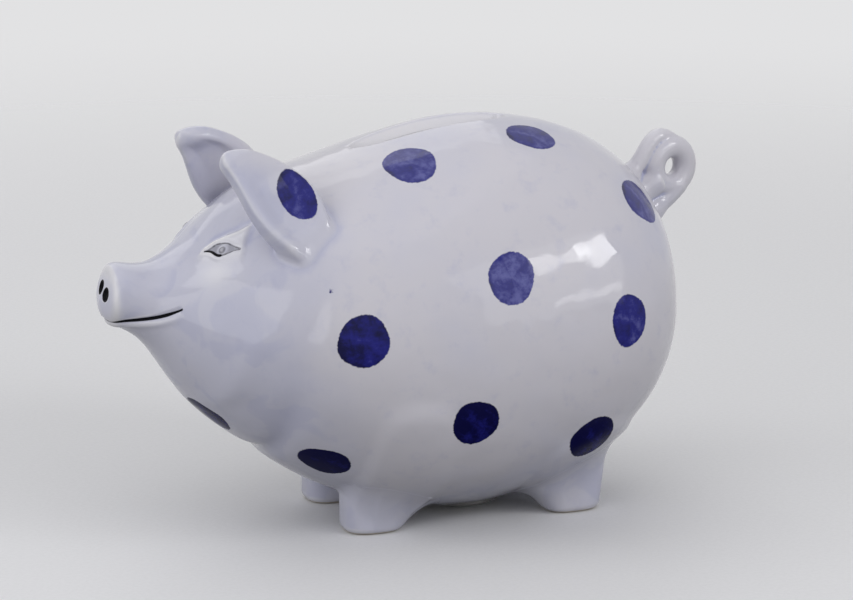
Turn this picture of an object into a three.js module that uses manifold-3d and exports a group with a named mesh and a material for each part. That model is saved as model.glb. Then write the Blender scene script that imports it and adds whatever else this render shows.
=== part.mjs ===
import * as THREE from 'three';
import { ParametricGeometry } from 'three/addons/geometries/ParametricGeometry.js';
import { NURBSCurve } from 'three/addons/curves/NURBSCurve.js';
import { mergeVertices } from 'three/addons/utils/BufferGeometryUtils.js';
import Module from 'manifold-3d';

// Ceramic pig money box. Millimetres, X from tail to nose, Y to the pig's left, Z up.

// Guide points of the body in its middle plane, rump first: [along, up].
const BACK_LINE = [
  [-70.8, 51.2], [-70.8, 64.2], [-67.3, 86.2], [-43.5, 102.2], [-8, 105.4], [26, 94.2], [45, 91.2],
  [57, 79.2], [66.5, 70.5], [75, 71.2], [79.5, 72.4], [80.5, 68.7], [82.5, 63.2],
];
const BELLY_LINE = [
  [-70.8, 51.2], [-70.8, 37.2], [-64.5, 23.7], [-41, 6.2], [-8.5, -1.6], [26, 7.7], [44.5, 22.1],
  [57.7, 31.7], [65.8, 42.5], [71.2, 51.3], [77, 55.4], [82.8, 57.4], [82.5, 63.2],
];
// Half the width of the body at each pair of guide points.
const HALF_WIDTHS = [0, 12, 34, 48, 50, 46, 36, 26, 14, 10, 9, 6, 0];

// Cast wall, and the share of the body's length that is hollow.
const WALL = 5;
const HOLLOW_END = 0.64;

// Clearance left between neighbouring pieces.
const GAP = 0.3;

// Coin slot along the ridge of the back.
const SLOT_LENGTH = 38;
const SLOT_WIDTH = 5;
const SLOT_X = -5.9;
const LIP_WIDTH = 2.6;
const LIP_END = 1.2;
const LIP_DEPTH = 2.4;

// Hole in the belly, its flat seat and the stopper that closes it.
const HOLE_DIAMETER = 20;
const HOLE_X = -14;
const SEAT_HEIGHT = 4.5;
const FLANGE_DIAMETER = 24;
const FLANGE_THICKNESS = 2.2;
const SEAT_CLEARANCE = 0.5;
const PLUG_LENGTH = 11;
const PLUG_TAPER = 0.9;
const PLUG_WALL = 3;
const PLUG_FLOOR = 3;
const EDGE_ROUND = 0.6;

// Face: nostrils on the snout disc, eyes and mouth on the side of the head.
const NOSTRIL_SPACING = 4.4;
const NOSTRIL_HEIGHT = 65.6;
const NOSTRIL_SIZE = [1.6, 1.0, 1.8];
const EYE_AT = [54.6, 77];
const EYE_LENGTH = 11.4;
const EYE_OPENING = 3.9;
const EYE_DEPTH = 0.8;
const EYE_LINE = [-0.61, 0.77, 0.19];
const EYEBALL_RADIUS = 1.9;
const EYEBALL_SINK = 1.5;
const MOUTH_LINE = [[65.1, 62.6], [67.9, 61.1], [72.2, 59.5], [77.6, 58.3]];
const MOUTH_FRONT = 0.955;
const MOUTH_RADIUS = 0.55;

// Ear: foot of its long axis, tip, a point behind it on the crown, and the leaf outline.
const EAR_FOOT = [37, 32.5, 74.2];
const EAR_TIP = [54.2, 15.5, 101.4];
const EAR_CROWN = [33.2, 18.1, 94.1];
const EAR_HALF_WIDTHS = [0, 5.5, 8.6, 10.6, 10.8, 9.2, 6.6, 3.4, 0];
const EAR_SHIFTS = [2.4, 3, 3.8, 4.5, 4.9, 4.9, 3.6, 1.2, 0.3];
const EAR_HALF_THICKNESS = [0, 2.6, 3.2, 3.2, 2.9, 2.6, 2.2, 1.8, 0];
const EAR_CURL = 0.012;

// Feet: places on the ground, half-sizes of the sole and the ankle, and the thigh's flare.
const FRONT_FOOT_X = 14.4;
const REAR_FOOT_X = -39.4;
const FOOT_Y = 15.4;
const SOLE_HALF_LENGTH = 6.4;
const SOLE_HALF_WIDTH = 5;
const FOOT_HALF_LENGTH = 7.9;
const FOOT_HALF_WIDTH = 6.8;
const SOLE_ROUND = 1.8;
const FLARE_IN = 4;
const FLARE_OUT = 1.2;
const FLARE_WIDTH = 2.4;
const FLARE_HEIGHT = 10;
const THIGH_LEAN = 4;
const FOOT_HEIGHT = 18;

// Tail: ring of the curl, the strand that rises from the rump and the end tucked under.
const TAIL_RING_CENTER = [-74.3, 0.9, 86.2];
const TAIL_RING_RADIUS = 5.3;
const TAIL_RING_TURN = 15;
const TAIL_THICKNESS = 6.36;
const TAIL_STRAND = [
  [-60.5, 0.1, 80.5], [-65.9, 1.2, 88.7], [-68.1, 0.6, 91.1],
  [-70.8, 0, 92.8], [-73.7, -0.2, 93], [-76.3, -0.2, 91.4],
];
const TAIL_END = [[-78, 0.3, 82.6], [-76.4, 0.4, 80.4], [-72.5, 0.4, 77.6], [-66, 0.2, 73.4]];

// Facets along and around the curved pieces.
const BODY_ROWS = 46;
const BODY_SIDES = 36;
const HOLLOW_ROWS = 20;
const HOLLOW_SIDES = 20;
const EAR_ROWS = 14;
const EAR_SIDES = 16;
const FOOT_ROWS = 14;
const FOOT_SIDES = 24;
const TUBE_SIDES = 10;
const RING_SIDES = 24;
const SLOT_ROWS = 16;
const SLOT_SIDES = 12;

const wasm = await Module();
wasm.setup();

function toSolid(geometry) {
  const plain = geometry.index ? geometry.toNonIndexed() : geometry.clone();
  plain.deleteAttribute('normal');
  plain.deleteAttribute('uv');
  const merged = mergeVertices(plain, 1e-4);
  const index = merged.index.array;
  const kept = [];
  for (let i = 0; i < index.length; i += 3) {
    const [a, b, c] = [index[i], index[i + 1], index[i + 2]];
    if (a !== b && b !== c && c !== a) kept.push(a, b, c);
  }
  const mesh = new wasm.Mesh({
    numProp: 3,
    vertProperties: new Float32Array(merged.attributes.position.array),
    triVerts: new Uint32Array(kept),
  });
  const solid = new wasm.Manifold(mesh);
  return solid.volume() < 0 ? toSolid(flipped(geometry)) : solid;
}

function flipped(geometry) {
  const plain = geometry.index ? geometry.toNonIndexed() : geometry.clone();
  const at = plain.attributes.position;
  const turned = new Float32Array(at.array.length);
  for (let i = 0; i < at.count; i += 3) {
    [0, 2, 1].forEach((from, to) => {
      turned.set([at.getX(i + from), at.getY(i + from), at.getZ(i + from)], (i + to) * 3);
    });
  }
  const result = new THREE.BufferGeometry();
  result.setAttribute('position', new THREE.BufferAttribute(turned, 3));
  return result;
}

function toGeometry(solid) {
  const mesh = solid.getMesh();
  const geometry = new THREE.BufferGeometry();
  const points = new Float32Array(mesh.numVert * 3);
  for (let i = 0; i < mesh.numVert; i += 1) {
    for (let k = 0; k < 3; k += 1) points[i * 3 + k] = mesh.vertProperties[i * mesh.numProp + k];
  }
  geometry.setAttribute('position', new THREE.BufferAttribute(points, 3));
  geometry.setIndex(new THREE.BufferAttribute(new Uint32Array(mesh.triVerts), 1));
  geometry.computeVertexNormals();
  return geometry;
}

function surface(point, rows, sides) {
  return toSolid(new ParametricGeometry(point, rows, sides));
}

function knotsFor(count) {
  const knots = [0, 0, 0];
  for (let i = 0; i <= count - 3; i += 1) knots.push(i / (count - 3));
  return [...knots, 1, 1, 1];
}

function guideLine(points) {
  const poles = points.map(([x, y, z]) => new THREE.Vector4(x, y, z, 1));
  return new NURBSCurve(3, knotsFor(poles.length), poles);
}

const backLine = guideLine(BACK_LINE.map(([x, z]) => [x, 0, z]));
const bellyLine = guideLine(BELLY_LINE.map(([x, z]) => [x, 0, z]));
const widthLine = guideLine(HALF_WIDTHS.map((w) => [0, w, 0]));

// Point on the outer skin: an ellipse hung between the back line and the belly line.
function skinPoint(along, around) {
  const top = backLine.getPoint(along);
  const bottom = bellyLine.getPoint(along);
  const point = bottom.lerp(top, (1 + Math.cos(around)) / 2);
  point.y = widthLine.getPoint(along).y * Math.sin(around);
  return point;
}

function skinNormal(along, around) {
  const step = 0.002;
  const a = Math.min(Math.max(along, 2 * step), 1 - 2 * step);
  if (along < step) return new THREE.Vector3(-1, 0, 0);
  const lengthwise = skinPoint(a + step, around).sub(skinPoint(a - step, around));
  const sideways = skinPoint(a, around + step).sub(skinPoint(a, around - step));
  return sideways.cross(lengthwise).normalize().negate();
}

// Skin moved out by a distance, or in when the distance is below zero.
function movedSkin(along, around, distance) {
  return skinPoint(along, around).addScaledVector(skinNormal(along, around), distance);
}

// Along-position where a guide line reaches a given X.
function alongAt(line, x) {
  let low = 0.1;
  let high = 0.9;
  for (let i = 0; i < 40; i += 1) {
    const middle = (low + high) / 2;
    if (line.getPoint(middle).x < x) low = middle;
    else high = middle;
  }
  return (low + high) / 2;
}

// Point on the left side of the skin, found from its place in the side view.
function sidePoint([x, z]) {
  let low = 0.05;
  let high = 0.98;
  const place = new THREE.Vector3(x, 0, z);
  const leftover = (along) => {
    const bottom = bellyLine.getPoint(along);
    const up = backLine.getPoint(along).sub(bottom);
    const toPlace = place.clone().sub(bottom);
    return toPlace.x * up.z - toPlace.z * up.x;
  };
  for (let i = 0; i < 40; i += 1) {
    const middle = (low + high) / 2;
    if (leftover(middle) > 0) low = middle;
    else high = middle;
  }
  const bottom = bellyLine.getPoint(low);
  const up = backLine.getPoint(low).sub(bottom);
  const share = place.clone().sub(bottom).dot(up) / up.lengthSq();
  const around = Math.acos(THREE.MathUtils.clamp(2 * share - 1, -1, 1));
  return { point: skinPoint(low, around), normal: skinNormal(low, around) };
}

function mirrored(point) {
  return new THREE.Vector3(point.x, -point.y, point.z);
}

function ellipsoid(center, axes, halfSizes) {
  const ball = new THREE.SphereGeometry(1, 14, 8);
  ball.scale(...halfSizes);
  ball.applyMatrix4(new THREE.Matrix4().makeBasis(...axes));
  ball.translate(center.x, center.y, center.z);
  return toSolid(ball);
}

// Round bar of one thickness along a smooth path.
function bar(points, radius, steps, sides) {
  const shape = new THREE.Shape().absarc(0, 0, radius, 0, 2 * Math.PI);
  const path = new THREE.CatmullRomCurve3(points);
  const options = { steps, curveSegments: sides / 2, bevelEnabled: false, extrudePath: path };
  return toSolid(new THREE.ExtrudeGeometry(shape, options));
}

function outerSkin(distance) {
  return surface((u, v, target) => {
    target.copy(movedSkin(u, 2 * Math.PI * v, distance));
    if (u === 1) target.copy(skinPoint(1, 0)).addScaledVector(skinNormal(1, 0), distance);
  }, BODY_ROWS, BODY_SIDES);
}

function hollow() {
  const capShare = 0.9;
  const capCenter = skinPoint(HOLLOW_END, 0).lerp(skinPoint(HOLLOW_END, Math.PI), 0.5);
  return surface((u, v, target) => {
    const along = Math.min(u / capShare, 1) * HOLLOW_END;
    target.copy(movedSkin(along, 2 * Math.PI * v, -WALL));
    if (u > capShare) target.lerp(capCenter, (u - capShare) / (1 - capShare));
  }, HOLLOW_ROWS, HOLLOW_SIDES);
}

// Coin slot: a straight cut through the wall and a shallow boat that eases its lips.
function coinSlot() {
  const half = SLOT_LENGTH / 2;
  const end = SLOT_WIDTH / 2;
  const front = backLine.getPoint(alongAt(backLine, SLOT_X + half));
  const rear = backLine.getPoint(alongAt(backLine, SLOT_X - half));
  const slope = Math.atan2(front.z - rear.z, front.x - rear.x);
  const middle = backLine.getPoint(alongAt(backLine, SLOT_X));
  const outline = new THREE.Shape();
  outline.absarc(half - end, 0, end, -Math.PI / 2, Math.PI / 2);
  outline.absarc(end - half, 0, end, Math.PI / 2, 1.5 * Math.PI);
  const cut = new THREE.ExtrudeGeometry(outline, { depth: 4 * WALL, bevelEnabled: false, curveSegments: 8 });
  cut.translate(0, 0, -2 * WALL);
  cut.rotateY(-slope);
  cut.translate(middle.x, 0, middle.z);
  const boat = surface((u, v, target) => {
    const place = -Math.cos(Math.PI * u);
    const swell = Math.sqrt(Math.max(0, 1 - place ** 4));
    const ridge = backLine.getPoint(alongAt(backLine, SLOT_X + place * (half + LIP_END)));
    const angle = 2 * Math.PI * v;
    const sideways = (end + LIP_WIDTH) * swell * Math.cos(angle);
    target.set(ridge.x, sideways, ridge.z + LIP_DEPTH * swell * Math.sin(angle));
  }, SLOT_ROWS, SLOT_SIDES);
  return toSolid(cut).add(boat);
}

// Flat-bottomed seat in the belly and the hole above it.
function bellyHole() {
  const seatRadius = FLANGE_DIAMETER / 2 + SEAT_CLEARANCE;
  const deep = 4 * WALL;
  const profile = [
    [0, SEAT_HEIGHT - deep], [seatRadius, SEAT_HEIGHT - deep], [seatRadius, SEAT_HEIGHT],
    [HOLE_DIAMETER / 2, SEAT_HEIGHT], [HOLE_DIAMETER / 2, SEAT_HEIGHT + deep], [0, SEAT_HEIGHT + deep],
  ];
  const cut = new THREE.LatheGeometry(profile.map(([r, z]) => new THREE.Vector2(r, z)), 40);
  cut.rotateX(Math.PI / 2);
  cut.translate(HOLE_X, 0, 0);
  return toSolid(cut);
}

// The eye's line laid in the skin, the direction across it, and the skin's normal.
function faceAxes(normal, line) {
  const along = line.clone().addScaledVector(normal, -line.dot(normal)).normalize();
  return [along, normal.clone().cross(along), normal];
}

function eye(side) {
  const { point, normal } = sidePoint(EYE_AT);
  const center = side > 0 ? point : mirrored(point);
  const line = new THREE.Vector3(...EYE_LINE);
  const axes = side > 0 ? faceAxes(normal, line) : faceAxes(mirrored(normal), mirrored(line));
  const socket = ellipsoid(center, axes, [EYE_LENGTH / 2, EYE_OPENING / 2, EYE_DEPTH]);
  const sunk = center.clone().addScaledVector(axes[2], -EYEBALL_SINK);
  const ball = ellipsoid(sunk, axes, [EYEBALL_RADIUS, EYEBALL_RADIUS, EYEBALL_RADIUS]);
  return { socket, ball };
}

function nostril(side) {
  const along = 0.985;
  const center = skinPoint(along, 0).lerp(skinPoint(along, Math.PI), 0.5);
  center.y = side * NOSTRIL_SPACING / 2;
  center.z = NOSTRIL_HEIGHT;
  const axes = [new THREE.Vector3(1, 0, 0), new THREE.Vector3(0, 1, 0), new THREE.Vector3(0, 0, 1)];
  return ellipsoid(center, axes, NOSTRIL_SIZE);
}

function mouth() {
  const left = MOUTH_LINE.map((place) => sidePoint(place).point);
  const front = skinPoint(MOUTH_FRONT, Math.PI);
  const path = [...left, front, ...left.map(mirrored).reverse()];
  return bar(path, MOUTH_RADIUS, 30, 6);
}

function bodyShell() {
  let shell = outerSkin(0).subtract(hollow()).subtract(coinSlot()).subtract(bellyHole());
  [1, -1].forEach((side) => {
    const { socket, ball } = eye(side);
    shell = shell.subtract(socket).add(ball).subtract(nostril(side));
  });
  return shell.subtract(mouth());
}

// Leaf on a slanting axis: half-width, sideways shift and thickness change from foot to tip.
function ear(side, skin) {
  const foot = new THREE.Vector3(...EAR_FOOT);
  const axis = new THREE.Vector3(...EAR_TIP).sub(foot);
  const forward = axis.clone().normalize();
  const across = new THREE.Vector3(...EAR_CROWN).sub(foot);
  across.addScaledVector(forward, -across.dot(forward)).normalize();
  const outward = across.clone().cross(forward);
  const leaf = guideLine(EAR_HALF_WIDTHS.map((w, i) => [w, EAR_SHIFTS[i], EAR_HALF_THICKNESS[i]]));
  const solid = surface((u, v, target) => {
    const size = leaf.getPoint(u);
    const angle = 2 * Math.PI * v;
    const q = size.y + size.x * Math.cos(angle);
    const lift = EAR_CURL * Math.max(q, 0) ** 2 + size.z * Math.sin(angle);
    target.copy(foot).addScaledVector(axis, u);
    target.addScaledVector(across, q).addScaledVector(outward, lift);
    target.y *= side;
  }, EAR_ROWS, EAR_SIDES);
  return solid.subtract(skin);
}

// Foot: a rounded sole that flares into a thigh, most of all towards the middle of the belly.
function foot(x, side, skin) {
  const inward = x > HOLE_X ? -1 : 1;
  const capShare = 0.15;
  const solid = surface((u, v, target) => {
    const share = THREE.MathUtils.clamp((u - capShare) / (1 - 2 * capShare), 0, 1);
    const height = share * FOOT_HEIGHT;
    const round = Math.min(height / SOLE_ROUND, 1);
    const ease = Math.sqrt(1 - (1 - round) ** 2);
    const flare = THREE.MathUtils.smoothstep(height, 0, FLARE_HEIGHT);
    const cap = Math.min(u / capShare, 1, (1 - u) / capShare);
    const halfLength = THREE.MathUtils.lerp(SOLE_HALF_LENGTH, FOOT_HALF_LENGTH, ease)
      + flare * (FLARE_IN + FLARE_OUT) / 2;
    const halfWidth = THREE.MathUtils.lerp(SOLE_HALF_WIDTH, FOOT_HALF_WIDTH, ease) + flare * FLARE_WIDTH;
    const middle = x + inward * flare * (FLARE_IN - FLARE_OUT) / 2;
    const angle = 2 * Math.PI * v;
    const [c, s] = [Math.cos(angle), Math.sin(angle)];
    const square = (c ** 4 + s ** 4) ** -0.25;
    const y = FOOT_Y + THIGH_LEAN * share + cap * halfWidth * s * square;
    target.set(middle + cap * halfLength * c * square, side * y, height);
  }, FOOT_ROWS, FOOT_SIDES);
  return solid.subtract(skin);
}

function tail(skin) {
  const radius = TAIL_THICKNESS / 2;
  const ring = new THREE.TorusGeometry(TAIL_RING_RADIUS, radius, TUBE_SIDES, RING_SIDES);
  ring.rotateX(Math.PI / 2);
  ring.rotateZ(THREE.MathUtils.degToRad(TAIL_RING_TURN));
  ring.translate(...TAIL_RING_CENTER);
  const strand = bar(TAIL_STRAND.map((p) => new THREE.Vector3(...p)), radius, 12, TUBE_SIDES);
  const end = bar(TAIL_END.map((p) => new THREE.Vector3(...p)), radius, 8, TUBE_SIDES);
  return toSolid(ring).add(strand).add(end).subtract(skin);
}

// Soft stopper: flange under the belly and a tapered cup that grips the hole.
function stopper() {
  const flangeRadius = FLANGE_DIAMETER / 2;
  const flangeTop = SEAT_HEIGHT - GAP;
  const flangeBottom = flangeTop - FLANGE_THICKNESS;
  const plugRadius = HOLE_DIAMETER / 2 - GAP;
  const plugTop = flangeTop + PLUG_LENGTH;
  const topRadius = plugRadius - PLUG_TAPER;
  const cupFloor = flangeBottom + PLUG_FLOOR;
  const profile = [
    [0, flangeBottom], [flangeRadius - EDGE_ROUND, flangeBottom], [flangeRadius, flangeBottom + EDGE_ROUND],
    [flangeRadius, flangeTop - EDGE_ROUND], [flangeRadius - EDGE_ROUND, flangeTop], [plugRadius, flangeTop],
    [topRadius, plugTop - EDGE_ROUND], [topRadius - EDGE_ROUND, plugTop], [topRadius - PLUG_WALL, plugTop],
    [plugRadius - PLUG_WALL, cupFloor], [0, cupFloor],
  ];
  const lathe = new THREE.LatheGeometry(profile.map(([r, z]) => new THREE.Vector2(r, z)), 40);
  lathe.rotateX(Math.PI / 2);
  lathe.translate(HOLE_X, 0, 0);
  return toSolid(lathe);
}

const clearSkin = outerSkin(GAP);
const GLAZE = { color: 0xbcbac6, roughness: 0.15, metalness: 0 };
const RUBBER = { color: 0x6f6a66, roughness: 0.8, metalness: 0 };

const part = new THREE.Group();
part.name = 'money_box';

function addPiece(name, solid, look) {
  const mesh = new THREE.Mesh(toGeometry(solid), new THREE.MeshStandardMaterial(look));
  mesh.name = name;
  part.add(mesh);
}

addPiece('body_shell', bodyShell(), GLAZE);
addPiece('ear_left', ear(1, clearSkin), GLAZE);
addPiece('ear_right', ear(-1, clearSkin), GLAZE);
addPiece('foot_front_left', foot(FRONT_FOOT_X, 1, clearSkin), GLAZE);
addPiece('foot_front_right', foot(FRONT_FOOT_X, -1, clearSkin), GLAZE);
addPiece('foot_rear_left', foot(REAR_FOOT_X, 1, clearSkin), GLAZE);
addPiece('foot_rear_right', foot(REAR_FOOT_X, -1, clearSkin), GLAZE);
addPiece('tail', tail(clearSkin), GLAZE);
addPiece('stopper', stopper(), RUBBER);

export default part;
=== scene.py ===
import bmesh
import bpy
import numpy as np
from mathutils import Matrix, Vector


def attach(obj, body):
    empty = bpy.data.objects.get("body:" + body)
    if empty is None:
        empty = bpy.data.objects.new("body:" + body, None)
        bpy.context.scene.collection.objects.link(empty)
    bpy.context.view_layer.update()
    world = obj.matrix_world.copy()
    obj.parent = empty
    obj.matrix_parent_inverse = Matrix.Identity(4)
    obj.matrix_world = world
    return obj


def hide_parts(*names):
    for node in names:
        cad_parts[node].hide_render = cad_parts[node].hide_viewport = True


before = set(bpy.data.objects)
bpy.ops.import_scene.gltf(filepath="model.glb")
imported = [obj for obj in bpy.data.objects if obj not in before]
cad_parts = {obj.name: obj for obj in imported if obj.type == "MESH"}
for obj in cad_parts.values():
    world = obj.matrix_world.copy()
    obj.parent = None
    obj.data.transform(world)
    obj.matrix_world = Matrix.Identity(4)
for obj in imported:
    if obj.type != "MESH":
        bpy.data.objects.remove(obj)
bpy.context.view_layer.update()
mm = 0.001  # the shapes below are worked out in millimetres, X from tail to nose, Y to the pig's left
turn = 2 * np.pi

# The skin of the body: guide points in the middle plane, rump first, as (along, up).
body = {
    "backLine": [(-70.8, 51.2), (-70.8, 64.2), (-67.3, 86.2), (-43.5, 102.2), (-8, 105.4), (26, 94.2),
                 (45, 91.2), (57, 79.2), (66.5, 70.5), (75, 71.2), (79.5, 72.4), (80.5, 68.7),
                 (82.5, 63.2)],
    "bellyLine": [(-70.8, 51.2), (-70.8, 37.2), (-64.5, 23.7), (-41, 6.2), (-8.5, -1.6), (26, 7.7),
                  (44.5, 22.1), (57.7, 31.7), (65.8, 42.5), (71.2, 51.3), (77, 55.4), (82.8, 57.4),
                  (82.5, 63.2)],
    "halfWidths": [0, 12, 34, 48, 50, 46, 36, 26, 14, 10, 9, 6, 0],
    "wall": 5.0,
    "hollowEnd": 0.64,
    "rows": 300,
    "columns": 128,
    "innerColumns": 22,
    "wallSteps": 4,
    "unevenness": 0.1,
    "headFrom": 36,  # along, from where the head's and the snout's relief and the face's paint are worked out
    "snoutFrom": 56,
    "faceFrom": 40,
}

# Coin slot: a slit through the ridge of the back with broad bevelled lips.
slot = {
    "middleX": -5.9,
    "slitHalf": (18.8, 2.5),
    "lipHalf": (20.6, 6.4),
    "lipDrop": 2.5,
    "bevel": 1.15,  # 1 is a flat bevel, more is hollow
    "above": 80,  # lips are cut above this height only
}

# Creases and swellings of the skin: lines in the side view as (up, along), sizes as (up, size).
folds = {
    "neckLine": [(20, 43.7), (30, 42.4), (38, 42.2), (47, 41.8), (55, 41), (62, 39.6), (68, 38), (76, 35.4)],
    "neckDepth": [(20, 1.15), (27, 0.95), (40, 0.6), (60, 0.45), (70, 0.4), (80, 0)],
    "neckWidth": [(20, 2.2), (40, 4), (60, 5)],
    "jowlLine": [(37, 57), (44, 54.2), (51, 52.2), (58, 49.7), (65, 46.4)],
    "jowlHeight": [(33, 0), (40, 0.55), (55, 0.5), (66, 0)],
    "jowlWidth": 3.4,
    "forehead": ((48, 13, 85), (9, 7, 7), 1.5),  # a hollow over each eye: middle, half-sizes, depth
    "thighs": [((12, 14), (10, 25), 4), ((-42, 10), (17.5, 18), 2.2)],  # middle, half-sizes, power
    "thighHeight": 1.0,
    "thighEdge": (1.12, 0.85),  # share of the outline at which it starts to rise, and is full
    "thighSide": (8, 20),  # how far from the middle plane it fades in
}

# Eye on the side of the head; its outline is in the plane of the face, rearwards and upwards.
eye = {
    "at": (54.6, 77.0),
    "lineDirection": (-0.61, 0.77, 0.19),
    "upperLid": [(-5.8, 0), (-4.6, 0.2), (-3.6, 0.9), (-2.4, 2.0), (-0.4, 2.1), (1.3, 2.0), (2.8, 0.95),
                 (4.4, 0.4), (5.8, 0)],
    "lowerLid": [(-5.8, 0), (-4.8, 0.1), (-3.6, 0), (-2.5, -0.6), (-1.2, -1.5), (0.1, -1.65), (2.2, -1),
                 (3.6, -0.25), (5.8, 0)],
    "sunk": 0.25,
    "ballAt": (0.2, -0.1),
    "ballRadius": 2.2,
    "ballHeight": 0.5,
    "irisRadius": 1.05,
    "irisHeight": 0.15,
    "lineDepth": 0.15,
    "lineWidth": 0.36,
    "lidRoll": (0.16, 0.9, 0.5),  # soft roll outside the lids: height, distance and width
    "reach": (9, 11),  # how far from its middle the eye's relief goes, off the face and along it
    "lidReach": (6, 9),  # the same of the lids
    "browCrest": [(-8, -0.6), (-7.2, 0.2), (-4.2, 2.7), (-0.9, 4.4), (2.6, 6.1), (4.9, 7.7), (7, 9)],
    "browRear": (6.2, -0.11),  # how far back the brow's rear edge stands at eye height, and its lean
    "browHeight": (0.6, 0.15),  # at the eye and at the temple
    "crestHeight": 0.2,
    "crestSlant": 0.86,  # upward distance to distance square to the crest
    "rightBrow": 0.2,  # how much of the left brow the right one has
    "strokeHalf": 0.36,  # half-width of the black stroke under the eye, and of the thin grey lid lines
    "lidLineHalf": 0.2,
    "cheekAt": (-0.5, -6.2),  # a soft swelling under the eye
    "cheekHalf": (5.5, 4.0),
    "cheekHeight": 0.35,
}

# Mouth line on the left side as (along, up), snout front first, and the nostrils.
mouth = {
    "line": [(79.63, 58.0), (77.6, 58.3), (75.4, 58.75), (72.2, 59.5), (69.9, 60.2), (67.7, 61.1), (66, 62),
             (64.8, 62.7)],
    "frontAlong": 0.955,
    "halfWidth": 0.46,
    "depth": 0.55,
    "lipHeight": 0.35,
    "lipAt": (-1.7, 1.0),  # distance from the line, below it negative, and width
}
nostril = {
    "middles": ((2.9, 64.9), (-1.6, 65.9)),  # of the left and the right one, sideways and up
    "halfSize": (1.75, 1.7),
    "slant": 0.28,
    "depth": 0.7,
    "from": 76,  # along, nothing behind this is a nostril
}
snout = {
    "rimAlong": 0.942,
    "rimWidth": 0.028,
    "rimHeight": (0.1, 0.8),  # at top and bottom, and at the sides
    "bridge": 0.85,  # how much higher its top stands than the plain skin
    "bridgeFrom": (58, 67),
}


def splineAt(poles, share):
    # clamped cubic B-spline: the poles weighted by the Cox-de Boor recursion on even knots
    poles = np.asarray(poles, float)
    knots = np.concatenate([[0] * 3, np.linspace(0, 1, len(poles) - 2), [1] * 3])
    share = np.clip(np.asarray(share, float), 0, 1 - 1e-9)[..., None]
    weights = ((share >= knots[:-1]) & (share < knots[1:])).astype(float)
    for degree in (1, 2, 3):
        before = knots[degree:-1] - knots[:-degree - 1]
        after = knots[degree + 1:] - knots[1:-degree]
        rise = (share - knots[:-degree - 1]) / np.where(before > 0, before, 1)
        fall = (knots[degree + 1:] - share) / np.where(after > 0, after, 1)
        weights = weights[..., :-1] * rise + weights[..., 1:] * fall
    return weights @ poles


guideShare = np.linspace(0, 1, 4001)
guideBack = splineAt(body["backLine"], guideShare)
guideBelly = splineAt(body["bellyLine"], guideShare)
guideWidth = splineAt(np.array(body["halfWidths"], float)[:, None], guideShare)[:, 0]


def along3(line, share):
    # point of a finely divided guide line, by straight steps
    return np.stack([np.interp(share, guideShare, line[:, k]) for k in range(line.shape[1])], -1)


def unit(vectors):
    return vectors / np.maximum(np.linalg.norm(vectors, axis=-1, keepdims=True), 1e-12)


def ease(low, high, value):
    # smooth step: 3s² − 2s³ of the share s of the way from low to high
    share = np.clip((value - low) / (high - low), 0, 1)
    return share * share * (3 - 2 * share)


def bell(value, middle=0.0, width=1.0):
    # bell curve: e to the minus square of the distance from the middle in widths
    return np.exp(-((value - middle) / width) ** 2)


def oval(x, y, half, power):
    # 1 on the outline of an oval: the root of the summed powers of the shares of its half-sizes
    return (np.abs(x / half[0]) ** power + np.abs(y / half[1]) ** power) ** (1 / power)


def listed(pairs, value):
    # straight steps between listed places and their values
    pairs = np.array(pairs, float)
    return np.interp(value, pairs[:, 0], pairs[:, 1])


def toLeft(points):
    # points of the right side mirrored to the left one
    return points * np.where(points[..., 1:2] < 0, (1, -1, 1), (1, 1, 1))


def skin(along, around):
    # an ellipse hung between the back line and the belly line: (1 + cos) / 2 of the way up, half-width
    # times sin
    back = along3(guideBack, along)
    belly = along3(guideBelly, along)
    share = (1 + np.cos(around)) / 2
    x = belly[..., 0] + (back[..., 0] - belly[..., 0]) * share
    z = belly[..., 1] + (back[..., 1] - belly[..., 1]) * share
    y = np.interp(along, guideShare, guideWidth) * np.sin(around)
    return np.stack(np.broadcast_arrays(x, y, z), -1)


def skinNormal(along, around, step=4e-4):
    # cross product of the lengthwise and the sideways differences
    along = np.clip(along, 2 * step, 1 - 2 * step)
    lengthwise = skin(along + step, around) - skin(along - step, around)
    sideways = skin(along, around + 1e-3) - skin(along, around - 1e-3)
    return unit(np.cross(lengthwise, sideways))


def place(points):
    # the along value whose line from belly to back passes through the point in side view, by halving
    x, z = points[..., 0], points[..., 2]
    low = np.full(x.shape, 1e-4)
    high = np.full(x.shape, 1 - 1e-4)
    for _ in range(30):
        middle = (low + high) / 2
        belly = along3(guideBelly, middle)
        up = along3(guideBack, middle) - belly
        ahead = (x - belly[..., 0]) * up[..., 1] - (z - belly[..., 1]) * up[..., 0] > 0
        low = np.where(ahead, middle, low)
        high = np.where(ahead, high, middle)
    share = ((x - belly[..., 0]) * up[..., 0] + (z - belly[..., 1]) * up[..., 1]) / (up ** 2).sum(-1)
    return middle, share


def level(points):
    # 0 on the plain skin, below 0 inside: distance from the ellipse's middle in units of its half-axes
    along, share = place(points)
    half = np.interp(along, guideShare, guideWidth)
    return np.hypot(2 * share - 1, points[..., 1] / half) - 1


def slopeOf(field, points, step=0.05):
    # difference of the field on either side of the point in each direction, over their distance
    offsets = np.eye(3) * step
    return np.stack([field(points + o) - field(points - o) for o in offsets], -1) / (2 * step)


def sidePoint(x, z):
    # the point of the left skin that lies at x, z in the side view
    along, share = place(np.array([x, 0, z], float))
    around = np.arccos(np.clip(2 * share - 1, -1, 1))
    return skin(along, around), skinNormal(along, around)


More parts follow.
